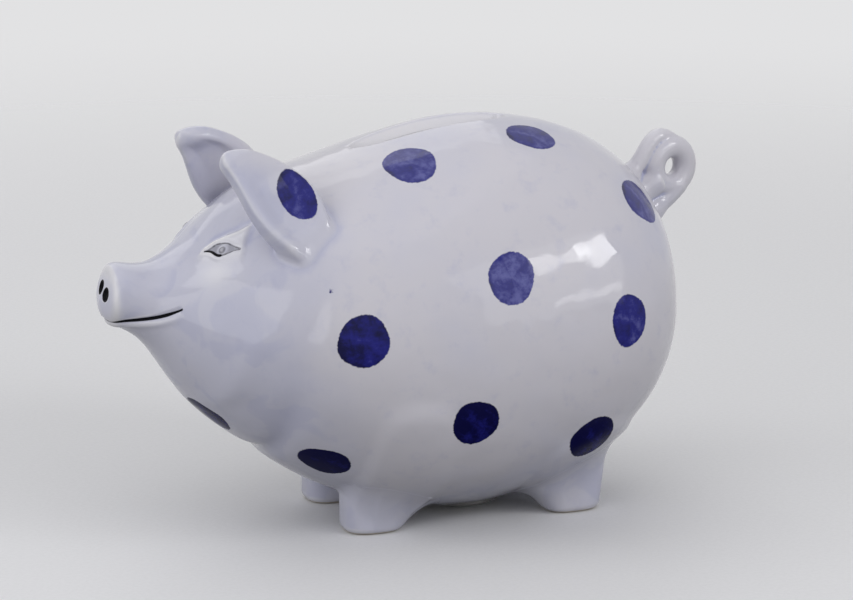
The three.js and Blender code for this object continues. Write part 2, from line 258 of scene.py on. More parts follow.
eyeCenter, eyeNormal = sidePoint(*eye["at"])
eyeAcross = np.array(eye["lineDirection"], float)
eyeAcross = unit(eyeAcross - eyeNormal * (eyeAcross @ eyeNormal))
eyeUp = np.cross(eyeNormal, eyeAcross)
eyeUp = eyeUp * np.sign(eyeUp[2])
lidShare = np.linspace(0, 1, 121)
upperLid = splineAt(eye["upperLid"], lidShare)
lowerLid = splineAt(eye["lowerLid"], lidShare)

mouthLeft = np.stack([sidePoint(x, z)[0] for x, z in mouth["line"]])
mouthFront = skin(np.array(mouth["frontAlong"]), np.array(np.pi))
mouthPath = splineAt(np.vstack([mouthFront, mouthLeft]), np.linspace(0, 1, 160))


def eyeFrame(points):
    # place in the plane of the face, rearwards and upwards of the eye's middle, and off that plane
    offset = points - eyeCenter
    return offset @ eyeAcross, offset @ eyeUp, offset @ eyeNormal


def lidDistance(lid, a, b):
    # least distance to the points of a lid line, counted negative below it
    distance = np.sqrt(((a[..., None] - lid[:, 0]) ** 2 + (b[..., None] - lid[:, 1]) ** 2).min(-1))
    return distance * np.where(b < np.interp(a, lid[:, 0], lid[:, 1]), -1, 1)


def insideLids(a, b):
    # depth between the lids: the lesser of the heights to the upper and from the lower one
    above = np.interp(a, upperLid[:, 0], upperLid[:, 1], left=0, right=0) - b
    below = b - np.interp(a, lowerLid[:, 0], lowerLid[:, 1], left=0, right=0)
    return np.minimum(above, below)


def browField(a, b):
    # a plate round the eye, steep at its crest from the front corner to the temple and at its rear edge,
    # and the narrow band of that crest
    below = (listed(eye["browCrest"], a) - b) * eye["crestSlant"]
    inFront = eye["browRear"][0] + eye["browRear"][1] * b - a
    ends = ease(-0.9, 0.8, inFront) * ease(-8.4, -5.2, a) * ease(-4.5, -0.5, b)
    return ease(-0.9, 0.7, below) * ends, bell(below, 0.6, 0.75) * ends


def cheekField(a, b):
    # soft oval swelling: a bell curve of the distance in units of its half-sizes
    (middleA, middleB), (halfA, halfB) = eye["cheekAt"], eye["cheekHalf"]
    return bell(np.hypot((a - middleA) / halfA, (b - middleB) / halfB))


def eyeRelief(points, browShare):
    # almond sunk between the lids, dome of the eyeball with its iris, grooves on the lid lines, and the brow
    a, b, c = eyeFrame(points)
    onFace = np.abs(c) < eye["reach"][0]
    near = bell(np.maximum(np.hypot(a, b - 2) - eye["reach"][1], 0), 0, 3) * onFace
    opening = ease(-0.15, 0.55, insideLids(a, b))
    radial = np.hypot(a - eye["ballAt"][0], b - eye["ballAt"][1])
    dome = eye["ballHeight"] * np.sqrt(np.clip(1 - (radial / eye["ballRadius"]) ** 2, 0, 1))
    iris = eye["irisHeight"] * ease(eye["irisRadius"], eye["irisRadius"] - 0.5, radial)
    height = opening * (dome + iris - eye["sunk"])
    close = np.hypot(a, b) < eye["lidReach"][1]
    distance = np.minimum(*[np.abs(lidDistance(lid, a[close], b[close])) for lid in (upperLid, lowerLid)])
    outside = insideLids(a[close], b[close]) < 0
    rollHeight, rollAt, rollWidth = eye["lidRoll"]
    height[close] = height[close] - eye["lineDepth"] * bell(distance, 0, eye["lineWidth"])
    height[close] = height[close] + rollHeight * bell(distance, rollAt, rollWidth) * outside
    plate, crest = browField(a, b)
    low, high = eye["browHeight"]
    brow = plate * (low + (high - low) * ease(2, 9, b)) + crest * eye["crestHeight"]
    return near * (height + brow * browShare) + cheekField(a, b) * eye["cheekHeight"] * onFace


def mouthDistance(points):
    # distance to the mouth line, below it counted negative, and the share of the way to the corner
    gaps = np.linalg.norm(points[..., None, :] - mouthPath, axis=-1)
    nearest = gaps.argmin(-1)
    distance = np.take_along_axis(gaps, nearest[..., None], -1)[..., 0]
    lower = points[..., 2] < mouthPath[nearest][..., 2]
    return np.where(lower, -distance, distance), nearest / (len(mouthPath) - 1)


def mouthRelief(points):
    # groove of round section that thins towards the corner, with a soft lip under it
    distance, share = mouthDistance(points)
    groove = mouth["depth"] * ease(1, 0, np.abs(distance) / (mouth["halfWidth"] * 2)) * ease(1, 0.95, share)
    lip = mouth["lipHeight"] * bell(distance, *mouth["lipAt"]) * ease(1, 0.8, share)
    return lip - groove


def nostrilField(points):
    # slanted ovals on the snout's disc: below 1 inside
    fields = []
    for middle, height in nostril["middles"]:
        y = (points[..., 1] - middle) * np.sign(middle)
        z = points[..., 2] - height
        across = y * np.cos(nostril["slant"]) - z * np.sin(nostril["slant"])
        up = z * np.cos(nostril["slant"]) + y * np.sin(nostril["slant"])
        fields.append(np.hypot(across / nostril["halfSize"][0], up / nostril["halfSize"][1]))
    return np.minimum(*fields) + 9 * (points[..., 0] < nostril["from"])


def foldRelief(points):
    # soft valley along the neck, soft ridge along the jowl, hollow over the eye, raised thighs and a slow
    # wander of sines
    x, y, z = points[..., 0], np.abs(points[..., 1]), points[..., 2]
    middle, half, depth = folds["forehead"]
    hollow = depth * np.exp(-(((np.stack([x, y, z], -1) - middle) / half) ** 2).sum(-1))
    neck = bell(x, listed(folds["neckLine"], z), listed(folds["neckWidth"], z))
    jowl = bell(x, listed(folds["jowlLine"], z), folds["jowlWidth"])
    height = listed(folds["jowlHeight"], z) * jowl - listed(folds["neckDepth"], z) * neck - hollow
    for (middleX, middleZ), half, power in folds["thighs"]:
        radial = oval(x - middleX, z - middleZ, half, power)
        rise = ease(*folds["thighEdge"], radial) * ease(*folds["thighSide"], y)
        height = height + folds["thighHeight"] * rise
    wander = np.sin(0.071 * x + 0.5) * np.cos(0.083 * z + 1.1) + 0.6 * np.sin(0.13 * y + 0.11 * x + 2)
    wander = wander + 0.35 * np.sin(0.27 * z - 0.21 * x) * np.cos(0.24 * points[..., 1])
    return height + body["unevenness"] * (wander - 2.2)


def snoutRelief(points):
    # rim round the snout's disc, by a bell curve of the along value and highest at the sides, and a fuller
    # bridge
    along, share = place(points)
    upward = np.clip(2 * share - 1, -1, 1)
    low, high = snout["rimHeight"]
    rim = bell(along, snout["rimAlong"], snout["rimWidth"]) * (low + (high - low) * (1 - upward ** 2))
    top = ease(0, 1, upward) * ease(*snout["bridgeFrom"], points[..., 0]) * ease(0.955, 0.9, along)
    return rim + snout["bridge"] * top


def relief(points):
    # everything that stands on or is sunk into the plain skin, as a height along its normal; the sides differ
    # in the nostrils and the brow only
    mirrored = toLeft(points)
    height = foldRelief(mirrored)
    head = mirrored[..., 0] > body["headFrom"]
    face = mirrored[head]
    browShare = np.where(points[head][:, 1] < 0, eye["rightBrow"], 1)
    height[head] = height[head] + eyeRelief(face, browShare) + mouthRelief(face)
    tip = points[..., 0] > body["snoutFrom"]
    hole = nostril["depth"] * ease(1.15, 0.55, nostrilField(points[tip]))
    height[tip] = height[tip] + snoutRelief(points[tip]) - hole
    return height


def skinGap(points):
    # distance outside the modelled skin: level over its slope, less the relief there
    slope = np.linalg.norm(slopeOf(level, points), axis=-1)
    return level(points) / slope - relief(points)


def gapNormal(points):
    # direction in which that distance grows fastest
    return unit(slopeOf(skinGap, points))


def onSkin(points):
    # moved back to the plain skin, against the relief, in two Newton steps
    for _ in range(2):
        slope = slopeOf(level, points)
        points = points - slope * (level(points) / (slope ** 2).sum(-1))[..., None]
    return points


def halve(field, low, high):
    # where a field that starts above 0 falls below it
    for _ in range(26):
        middle = (low + high) / 2
        outside = field(middle) > 0
        low = np.where(outside, middle, low)
        high = np.where(outside, high, middle)
    return (low + high) / 2


def spread(density, count):
    # places along 0 to 1 as dense as asked: the running sum of the density, inverted
    total = np.concatenate([[0], np.cumsum((density[1:] + density[:-1]) / 2)])
    return np.interp(np.linspace(0, total[-1], count), total, np.linspace(0, 1, len(density)))


def gridFaces(rows, columns, first, closed=False, flip=False):
    # quads between neighbouring rows and columns of a grid whose first vertex has a given number
    steps = columns if closed else columns - 1
    row, column = np.meshgrid(np.arange(rows - 1), np.arange(steps), indexing="ij")
    after = (column + 1) % columns
    quads = np.stack([row * columns + column, row * columns + after,
                      (row + 1) * columns + after, (row + 1) * columns + column], -1).reshape(-1, 4) + first
    return quads[:, ::-1] if flip else quads


def makeMesh(name, points, faces):
    mesh = bpy.data.meshes.new(name)
    mesh.from_pydata((np.asarray(points) * mm).tolist(), [], np.asarray(faces).tolist())
    soft = bmesh.new()
    soft.from_mesh(mesh)
    bmesh.ops.remove_doubles(soft, verts=soft.verts, dist=2e-6)
    bmesh.ops.recalc_face_normals(soft, faces=soft.faces)
    soft.to_mesh(mesh)
    soft.free()
    mesh.shade_smooth()
    piece = bpy.data.objects.new(name, mesh)
    bpy.context.scene.collection.objects.link(piece)
    return piece


def vertexPlaces(piece):
    flat = np.empty(len(piece.data.vertices) * 3, np.float32)
    piece.data.vertices.foreach_get("co", flat)
    return flat.reshape(-1, 3).astype(float) / mm


def store(piece, name, values):
    kind = "FLOAT_VECTOR" if values.ndim == 2 else "FLOAT"
    field = piece.data.attributes.new(name, kind, "POINT")
    field.data.foreach_set("vector" if values.ndim == 2 else "value", values.astype(np.float32).ravel())


def applyModifiers(piece):
    evaluated = piece.evaluated_get(bpy.context.evaluated_depsgraph_get())
    piece.data = bpy.data.meshes.new_from_object(evaluated)
    piece.modifiers.clear()


def cutAway(piece, cutter):
    modifier = piece.modifiers.new("cut", "BOOLEAN")
    modifier.operation = "DIFFERENCE"
    modifier.solver = "MANIFOLD"
    modifier.object = cutter
    applyModifiers(piece)
    bpy.data.objects.remove(cutter)


def lathe(profile, centerX, sides):
    # profile of (radius, height) turned round an upright axis
    angle = np.arange(sides) * turn / sides
    radius, height = np.array(profile, float).T
    x = centerX + radius[:, None] * np.cos(angle)
    y = radius[:, None] * np.sin(angle)
    z = np.broadcast_to(height[:, None], x.shape)
    return np.stack([x, y, z], -1).reshape(-1, 3), gridFaces(len(profile), sides, 0, closed=True)


stopper = {
    "holeX": -14.0,
    "holeRadius": 10.0,
    "recessRadius": 12.5,
    "seatHeight": 4.5,
    "cutDepth": 18.0,  # how far the cutter of hole and seat goes below and above the seat
    "flangeRadius": 12.0,
    "flangeBottom": 2.0,
    "flangeTop": 4.2,
    "plugRadius": 9.7,
    "plugTop": 15.2,
    "plugTaper": 0.9,
    "plugWall": 3.0,
    "cupFloor": 5.0,
    "edgeRound": 0.6,
    "sides": 96,
}


def slitHalfAt(x):
    # half-width of the slit: a fourth-power oval
    half, wide = slot["slitHalf"]
    return wide * np.clip(1 - ((x - slot["middleX"]) / half) ** 4, 0, 1) ** 0.25


def lipDrop(points):
    # bevelled lip: full drop on the slit's outline, none on the lip's oval, by the shares of the two
    # distances
    x, y = points[..., 0] - slot["middleX"], points[..., 1]
    fromSlit = np.maximum((oval(x, y, slot["slitHalf"], 4) - 1) * slot["slitHalf"][1], 0)
    toLip = np.maximum((1 - oval(x, y, slot["lipHalf"], 2.5)) * slot["lipHalf"][1], 0)
    share = fromSlit / np.maximum(fromSlit + toLip, 1e-9)
    onLip = (toLip > 0) & (points[..., 2] > slot["above"])
    return np.where(onLip, slot["lipDrop"] * (1 - share) ** slot["bevel"], 0)


def closeHalf(sheet, slit):
    # edges of a half drawn to the middle plane, except along the slit, and its rump end to a point
    sheet[:, 0, 1] = np.where(slit[:, 0] > 0, sheet[:, 0, 1], 0)
    sheet[:, -1, 1] = 0
    sheet[0] = sheet[0].mean(0) * (1, 0, 1)


def makeBody():
    # each half of the skin on an along-around grid, opened at the slit, with the slit's wall and the inner
    # skin one wall's thickness further in, welded along the middle plane; the belly hole is cut last
    x = guideBack[:, 0]
    ends = [slot["middleX"] + side * slot["slitHalf"][0] for side in (-1, 1)]
    density = 1 + 1.2 * ease(0.5, 0.58, guideShare) + 1.6 * bell(guideShare, 0.585, 0.045)
    for end in ends:
        density = density + 5 * bell(x, end, 1.6) * (guideShare < 0.6)
    along = spread(density, body["rows"])[:, None]
    angle = np.linspace(0, np.pi, 721)
    density = 0.9 + 9 * np.exp(-angle / 0.035) + 1.9 * bell(angle, 0.54, 0.2)
    density = density + 0.5 * bell(angle, 1.8, 0.5) + 6 * bell(angle, 0.1, 0.04)
    columns = spread(density, body["columns"]) * np.pi
    backX = np.interp(along, guideShare, x)
    slit = np.where((along > 0.1) & (along < 0.6), slitHalfAt(backX), 0)
    firstAngle = np.arcsin(np.clip(slit / np.maximum(np.interp(along, guideShare, guideWidth), 1), 0, 1))
    around = columns + firstAngle * np.clip(1 - columns / 0.5, 0, 1) ** 2
    base = skin(along, around)
    normal = skinNormal(along, around)
    halves = {}
    for side in (1, -1):
        outer = base + normal * (relief(base * (1, side, 1)) - lipDrop(base))[..., None]
        closeHalf(outer, slit)
        outer[-1] = outer[-1].mean(0) * (1, 0, 1)
        halves[side] = outer

    innerRows = int((along[:, 0] < body["hollowEnd"]).sum())
    innerAlong, first = along[:innerRows], firstAngle[:innerRows]
    innerAngle = first + (np.pi - first) * np.linspace(0, 1, body["innerColumns"])
    inner = skin(innerAlong, innerAngle) - body["wall"] * skinNormal(innerAlong, innerAngle)
    closeHalf(inner, slit[:innerRows])
    last = inner[-1:]
    cap = last + (last.mean(1, keepdims=True) * (1, 0, 1) - last) * np.linspace(0, 1, 6)[1:, None, None]
    inner = np.concatenate([inner, cap])

    opened = np.flatnonzero(slit[:, 0] > 0)
    wallRows = slice(opened[0] - 1, opened[-1] + 2)
    share = np.linspace(0, 1, body["wallSteps"] + 1)[:, None]
    wall = outer[wallRows, :1] + (inner[wallRows, :1] - outer[wallRows, :1]) * share

    points, faces, count = [], [], 0
    for side in (1, -1):
        for sheet in (halves[side], inner, wall):
            rows, width = sheet.shape[:2]
            points.append((sheet * (1, side, 1)).reshape(-1, 3))
            faces.append(gridFaces(rows, width, count, flip=side < 0))
            count = count + rows * width
    shell = makeMesh("bodyShell", np.concatenate(points), np.concatenate(faces))
    recess, hole, seat = stopper["recessRadius"], stopper["holeRadius"], stopper["seatHeight"]
    low, high = seat - stopper["cutDepth"], seat + stopper["cutDepth"]
    profile = [(0, low), (recess, low), (recess, seat), (hole, seat), (hole, high), (0, high)]
    cutter = makeMesh("holeCutter", *lathe(profile, stopper["holeX"], stopper["sides"]))
    cutAway(shell, cutter)
    shell.data.set_sharp_from_angle(angle=1.1)  # the rims cut in the belly stay crisp
    return shell


slip = {
    "start": 0.9,  # height above the skin at which a fillet starts, as a share of its reach
    "pull": 0.6,  # how far its curve keeps to the stem and to the skin
    "sink": 0.4,
    "overlap": 0.5,
    "rootDepth": 2.5,
}


def growPiece(stem, reach, ribs, stemRows, filletRows, earliest):
    # ribs of a stem run to a distance above the skin, then bend by a cubic curve that leaves along the stem
    # and lands along the skin, then dip under it and close; reach is how far out each rib lands
    around = np.arange(ribs) * turn / ribs
    zero = np.zeros(ribs)
    above = slip["start"] * reach
    crossing = halve(lambda share: skinGap(stem(around, share)), zero, zero + 1)
    start = halve(lambda share: skinGap(stem(around, share)) - above, zero + earliest, crossing)
    met = stem(around, crossing)
    metNormal = gapNormal(met)
    lengthwise = stem(around, crossing) - stem(around, crossing - 0.01)
    sideways = stem(around + 0.01, crossing) - stem(around - 0.01, crossing)
    away = np.cross(sideways, lengthwise)
    away = away * np.sign(((met - met.mean(0)) * away).sum(-1, keepdims=True))
    away = unit(away - metNormal * (away * metNormal).sum(-1, keepdims=True))
    landing = met + away * reach[:, None]
    for _ in range(4):
        landing = landing - gapNormal(landing) * skinGap(landing)[:, None]
    landNormal = gapNormal(landing)
    away = unit(away - landNormal * (away * landNormal).sum(-1, keepdims=True))
    leave = stem(around, start)
    heading = unit(stem(around, start + 0.005) - stem(around, start - 0.005))
    first = leave + heading * slip["pull"] * np.linalg.norm(met - leave, axis=-1, keepdims=True)
    second = landing - away * slip["pull"] * reach[:, None]
    t = np.linspace(0, 1, filletRows + 1)[1:, None, None]
    fillet = (1 - t) ** 3 * leave + 3 * (1 - t) ** 2 * t * first
    fillet = fillet + 3 * (1 - t) * t * t * second + t ** 3 * landing
    shaft = stem(around, start * np.linspace(0, 1, stemRows)[:, None])
    under = landing + away * slip["overlap"] - landNormal * slip["sink"]
    middle = (met - metNormal * slip["rootDepth"]).mean(0)
    inside = under + (middle - under) * np.array([0.5, 1])[:, None, None]
    rows = np.concatenate([shaft, fillet, under[None], inside])
    return rows, landing


def pieceFromRows(name, rows):
    # mesh of rings of ribs, closed to a point at both ends
    count, ribs = rows.shape[:2]
    rows[0] = rows[0].mean(0)
    rows[-1] = rows[-1].mean(0)
    return makeMesh(name, rows.reshape(-1, 3), gridFaces(count, ribs, 0, closed=True))


foot = {
    "frontX": 14.4,
    "rearX": -39.4,
    "sideY": 15.0,
    "soleHalf": (6.9, 5.4),
    "ankleHalf": (8.5, 6.9),
    "soleRound": 2.0,
    "shares": (0.2, 0.45),  # of a rib, where the flat sole and the rounded edge end
    "square": 2.9,
    "calf": (0.0, 0.13),  # how fast the end away from the belly runs out, front feet and rear feet
    "shin": (0.84, 0.8),  # how fast the end towards the belly runs out
    "soleCut": 1.9,  # how much shorter the sole is at that end
    "height": 26.0,
    "reach": 1.5,
    "reachToBelly": 3.2,
    "reachOutwards": 7.0,
    "ribs": 120,
    "stemRows": 34,
    "filletRows": 18,
    "filletFrom": 0.42,  # the share of a rib before which no fillet starts
    "pool": 0.12,  # how much glaze gathers along its landing line
}


def roundedSquare(c, s, square):
    # what cos and sin are multiplied by to lie on a rounded square of a given power
    return (np.abs(c) ** square + np.abs(s) ** square) ** (-1 / square)


def footStem(x, side):
    # flat sole out to its outline, quarter-round edge up to the ankle, then a shaft that runs out as it
    # rises, all of one rounded square outline
    belly = -1 if x > 0 else 1
    pair = 0 if x > 0 else 1
    soleEnd, roundEnd = foot["shares"]

    def stem(around, share):
        c, s = np.cos(around), np.sin(around)
        norm = roundedSquare(c, s, foot["square"])
        disc = np.clip(share / soleEnd, 0, 1)
        bend = np.clip((share - soleEnd) / (roundEnd - soleEnd), 0, 1) * np.pi / 2
        rise = np.clip((share - roundEnd) / (1 - roundEnd), 0, 1) * foot["height"]
        z = foot["soleRound"] * (1 - np.cos(bend)) + rise
        sizes = zip(foot["soleHalf"], foot["ankleHalf"])
        half = [sole * disc + (ankle - sole) * np.sin(bend) for sole, ankle in sizes]
        towards = np.clip(belly * c * norm, 0, 1) * (foot["shin"][pair] * z - foot["soleCut"] * disc)
        apart = np.clip(-belly * c * norm, 0, 1) * foot["calf"][pair] * z
        px = x + half[0] * c * norm + belly * (towards - apart)
        py = foot["sideY"] + half[1] * s * norm
        return np.stack(np.broadcast_arrays(px, side * py, z), -1)
    return stem, belly


def makeFoot(name, x, side):
    # wide fillet towards the middle of the belly and up the outer side, narrow elsewhere
    stem, belly = footStem(x, side)
    around = np.arange(foot["ribs"]) * turn / foot["ribs"]
    reach = foot["reach"] + foot["reachToBelly"] * np.clip(belly * np.cos(around), 0, 1) ** 1.5
    reach = reach + foot["reachOutwards"] * np.clip(np.sin(around), 0, 1) ** 2
    rows, landing = growPiece(stem, reach, foot["ribs"], foot["stemRows"], foot["filletRows"],
                              foot["filletFrom"])
    return pieceFromRows(name, rows), landing


ear = {
    "foot": (37, 32.5, 74.2),
    "tip": (54.2, 15.5, 101.4),
    "rightLean": (1.5, 0, 0),  # the right ear's tip stands a little further forward
    "crown": (33.2, 18.1, 94.1),
    "halfWidths": [4.9, 6.0, 7.05, 8.9, 9.2, 7.8, 5.75, 4.1, 3.0],
    "shifts": [5.3, 4.8, 3.95, 4.5, 4.7, 4.4, 3.45, 1.6, 0.6],
    "halfThickness": [2.6, 3.2, 3.7, 3.5, 3.1, 2.8, 2.6, 2.4, 2.3],
    "tipRound": 0.1,  # share of the length that the rounded tip takes
    "curl": 0.012,
    "square": (2.6, 4.2),  # of the rear edge and of the thick front edge
    "lobeSink": 4.0,
    "lobeShare": 0.24,
    "outerDish": 1.9,
    "innerDish": 2.1,
    "rootShare": 0.74,
    "rootAt": (12.0, 6.0, -10.0),  # along the axis, across it and outwards
    "reach": 1.6,
    "ribs": 144,
    "stemRows": 70,
    "filletRows": 12,
    "filletFrom": 0.02,
    "pool": 0.5,
}
earFoot = np.array(ear["foot"], float)
earAxis = np.array(ear["tip"], float) - earFoot
earForward = unit(earAxis)
earAcross = np.array(ear["crown"], float) - earFoot
earAcross = unit(earAcross - earForward * (earAcross @ earForward))
earOutward = np.cross(earAcross, earForward)


def earPoint(up, across, lift):
    # share of the ear's axis, and distances across it and off its plane
    return earFoot + up[..., None] * earAxis + across[..., None] * earAcross + lift[..., None] * earOutward


def earStem(side):
    # leaf from the tip down: rounded-square section of a half-width, a shift and a thickness that change
    # along the axis, dished on both faces, then drawn into the head towards one root point
    sizes = np.stack([ear["halfWidths"], ear["shifts"], ear["halfThickness"]], -1)
    root = earFoot + np.array(ear["rootAt"]) @ np.stack([earForward, earAcross, earOutward])

    def stem(around, share):
        around, share = np.broadcast_arrays(around, share)
        down = np.clip(share / ear["rootShare"], 0, 1)
        up = 1 - 0.96 * down * (0.3 + 0.7 * down)
        cap = np.sqrt(1 - np.clip((up - 1) / ear["tipRound"] + 1, 0, 1) ** 2)
        half, shift, thick = np.moveaxis(splineAt(sizes, up), -1, 0)
        half, thick = half * cap, thick * cap
        c, s = np.cos(around), np.sin(around)
        square = ear["square"][0] + (ear["square"][1] - ear["square"][0]) * ease(0.3, -0.5, c)
        norm = roundedSquare(c, s, square)
        across = shift + half * c * norm
        dish = np.where(s > 0, ear["outerDish"], ear["innerDish"]) * ease(0.95, 0.35, np.abs(c * norm))
        tipward = np.where(s > 0, ease(0.15, 0.6, 1 - up), ease(0.04, 0.25, 1 - up))
        dish = dish * tipward * ease(0, 0.3, up) * np.abs(s * norm)
        lift = ear["curl"] * np.maximum(across, 0) ** 2 + (thick - np.minimum(dish, 0.75 * thick)) * s * norm
        lift = lift - ear["lobeSink"] * np.clip(1 - up / ear["lobeShare"], 0, 1) ** 2
        leaf = earPoint(up, across, lift) + (side < 0) * up[..., None] ** 2 * ear["rightLean"]
        drawn = ease(0, 1, np.clip((share - ear["rootShare"]) / (1 - ear["rootShare"]), 0, 1))[..., None]
        return (leaf + (root - leaf) * drawn) * (1, side, 1)
    return stem


def makeEar(name, side):
    reach = np.full(ear["ribs"], ear["reach"])
    rows, landing = growPiece(earStem(side), reach, ear["ribs"], ear["stemRows"], ear["filletRows"],
                              ear["filletFrom"])
    return pieceFromRows(name, rows), landing


tail = {
    "center": (-74.27, 0.9, 86.2),
    "turn": 15.0,  # the ring's plane swings this far from the middle plane, its rear end to the right
    "ringRadius": 5.3,
    "radius": 3.14,
    "rise": [(-58.5, 2.8, 80), (-60.5, 3.0, 83.5), (-62.8, 3.1, 86.2)],
    "over": [(163, 9.3, -0.5), (142, 9.1, -0.5), (117, 9.6, -0.5), (95, 8.0, -0.5), (72, 6.2, -0.3),
             (45, 5.3, 0)],  # angle round the ring, distance from its middle and off its plane
    "riseRadius": 2.25,
    "tuck": [(-62, 2, 71.5), (-69, 2.0, 75.6), (-72.4, 1.4, 77.6), (-76.2, 0.5, 80.4), (-78.4, 0.2, 83)],
    "web": [(-60, 2.2, 78), (-65.5, 2.3, 80.6), (-68.6, 2.2, 82.4), (-71, 1.8, 83.6)],
    "webRadius": 4.1,
    "flare": 1.5,  # how much wider the strands are at the root
    "roots": (0.24, 0.45, 0.5),  # share of each strand that is flared
    "taper": 0.35,  # how much thinner they are at the tip
    "patch": (0.035, 0.17, 0.6),  # skin of the rump that it melts into: along from, along to, around
    "patchSink": 0.25,
    "voxel": 0.3,
    "smoothing": 20,
}


def tubeRows(path, radius, sides):
    # circle carried along a path in the frame of its tangent and a fixed sideways direction
    tangent = unit(np.gradient(path, axis=0))
    side = unit(np.cross(tangent, np.cross((0, 1, 0), tangent)))
    up = np.cross(tangent, side)
    angle = np.arange(sides) * turn / sides
    ring = np.cos(angle)[:, None] * side[:, None] + np.sin(angle)[:, None] * up[:, None]
    return path[:, None] + ring * radius[:, None, None]


def closedTube(path, radius, sides=28):
    # the same with each end drawn to a point
    rows = tubeRows(path, radius, sides)
    rows = np.concatenate([np.broadcast_to(path[:1, None], rows[:1].shape), rows,
                           np.broadcast_to(path[-1:, None], rows[:1].shape)])
    return rows.reshape(-1, 3), gridFaces(len(rows), sides, 0, closed=True)


def rumpPatch():
    # the rump's own skin as a thin closed slab, sunk a little so that only the tail's fillet comes out of it
    low, high, wide = tail["patch"]
    along, around = np.meshgrid(np.linspace(low, high, 50), np.linspace(-wide, wide, 40), indexing="ij")
    base = skin(along, around)
    normal = skinNormal(along, around)
    top = base + normal * (relief(base) - tail["patchSink"])[..., None]
    rows = np.concatenate([top, (top - 3 * normal)[:, ::-1]], 1)
    ends = np.broadcast_to(rows.mean(1, keepdims=True), rows.shape)
    rows = np.concatenate([ends[:1], rows, ends[-1:]])
    return rows.reshape(-1, 3), gridFaces(len(rows), rows.shape[1], 0, closed=True)


def ringShell(center, aside, off):
    # a circle carried round a circle that stands upright in the plane of aside
    angle = np.linspace(0, turn, 97)[:, None, None]
    outward = np.cos(angle) * aside + np.sin(angle) * np.array([0, 0, 1])
    section = np.arange(32)[:, None] * turn / 32
    ring = center + tail["ringRadius"] * outward
    ring = ring + tail["radius"] * (outward * np.cos(section) + off * np.sin(section))
    return ring.reshape(-1, 3), gridFaces(97, 32, 0, closed=True)


def makeTail(name):
    # a closed ring, a strand that rises from the rump and runs over it, one that tucks it back in and a web
    # between; a voxel remesh with smoothing melts them into one another and into the rump, as cast clay
    swing = np.radians(tail["turn"])
    aside = np.array([-np.cos(swing), -np.sin(swing), 0])
    off = np.array([-np.sin(swing), np.cos(swing), 0])
    center = np.array(tail["center"])
    degrees, distance, beside = np.array(tail["over"], float).T[..., None]
    over = np.cos(np.radians(degrees)) * aside + np.sin(np.radians(degrees)) * np.array([0, 0, 1])
    over = center + distance * over + beside * off
    shells = [ringShell(center, aside, off), rumpPatch()]
    strands = ((np.vstack([tail["rise"], over]), tail["riseRadius"]), (tail["tuck"], tail["radius"]),
               (tail["web"], tail["webRadius"]))
    share = np.linspace(0, 1, 90)
    for (poles, size), root in zip(strands, tail["roots"]):
        radius = size * (1 - tail["taper"] * ease(0.88, 1, share)) + tail["flare"] * ease(root, 0.1, share)
        shells.append(closedTube(splineAt(poles, share), radius))
    counts = np.cumsum([0] + [len(points) for points, quads in shells])
    faces = np.concatenate([quads + first for (points, quads), first in zip(shells, counts)])
    piece = makeMesh(name, np.concatenate([points for points, quads in shells]), faces)
    remesh = piece.modifiers.new("melt", "REMESH")
    remesh.mode = "VOXEL"
    remesh.voxel_size = tail["voxel"] * mm
    smooth = piece.modifiers.new("even", "SMOOTH")
    smooth.iterations = tail["smoothing"]
    smooth.factor = 0.5
    applyModifiers(piece)
    piece.data.shade_smooth()
    return piece


def quarter(center, radius, fromAngle, toAngle, steps=6):
    # points of an arc in the profile plane, angles in degrees
    angle = np.radians(np.linspace(fromAngle, toAngle, steps))
    return [(center[0] + radius * np.cos(a), center[1] + radius * np.sin(a)) for a in angle]


def makeStopper(name):
    # turned profile: dished flange with a moulded ring and rounded edges, tapered plug, hollow cup inside
    bottom, top, flange = stopper["flangeBottom"], stopper["flangeTop"], stopper["flangeRadius"]
    plug, plugTop, wall = stopper["plugRadius"], stopper["plugTop"], stopper["plugWall"]
    r, cupFloor = stopper["edgeRound"], stopper["cupFloor"]
    plugEnd = plug - stopper["plugTaper"]
    profile = [(0, bottom + 0.5), (3.2, bottom + 0.45), (4.4, bottom + 0.42)]
    profile += quarter((5.2, bottom + 0.4), 0.38, 180, 360, 9)
    profile += [(6.4, bottom + 0.34), (8, bottom + 0.2), (9.6, bottom + 0.04)]
    profile += quarter((flange - r, bottom + r), r, -90, 0)
    profile += quarter((flange - r, top - r), r, 0, 90)
    profile += quarter((plug + 0.35, top + 0.2), 0.2, -90, -180, 4)
    profile += [(plug - 0.02, top + 0.6), (plug - 0.2, top + 2.6)]
    profile += quarter((plugEnd - r, plugTop - r), r, 0, 90)
    profile += quarter((plugEnd - wall + r, plugTop - r), r, 90, 180)
    profile += quarter((plug - wall - 1, cupFloor + 1), 1, 0, -90)
    profile += [(3, cupFloor), (0, cupFloor)]
    return makeMesh(name, *lathe(profile, stopper["holeX"], stopper["sides"]))


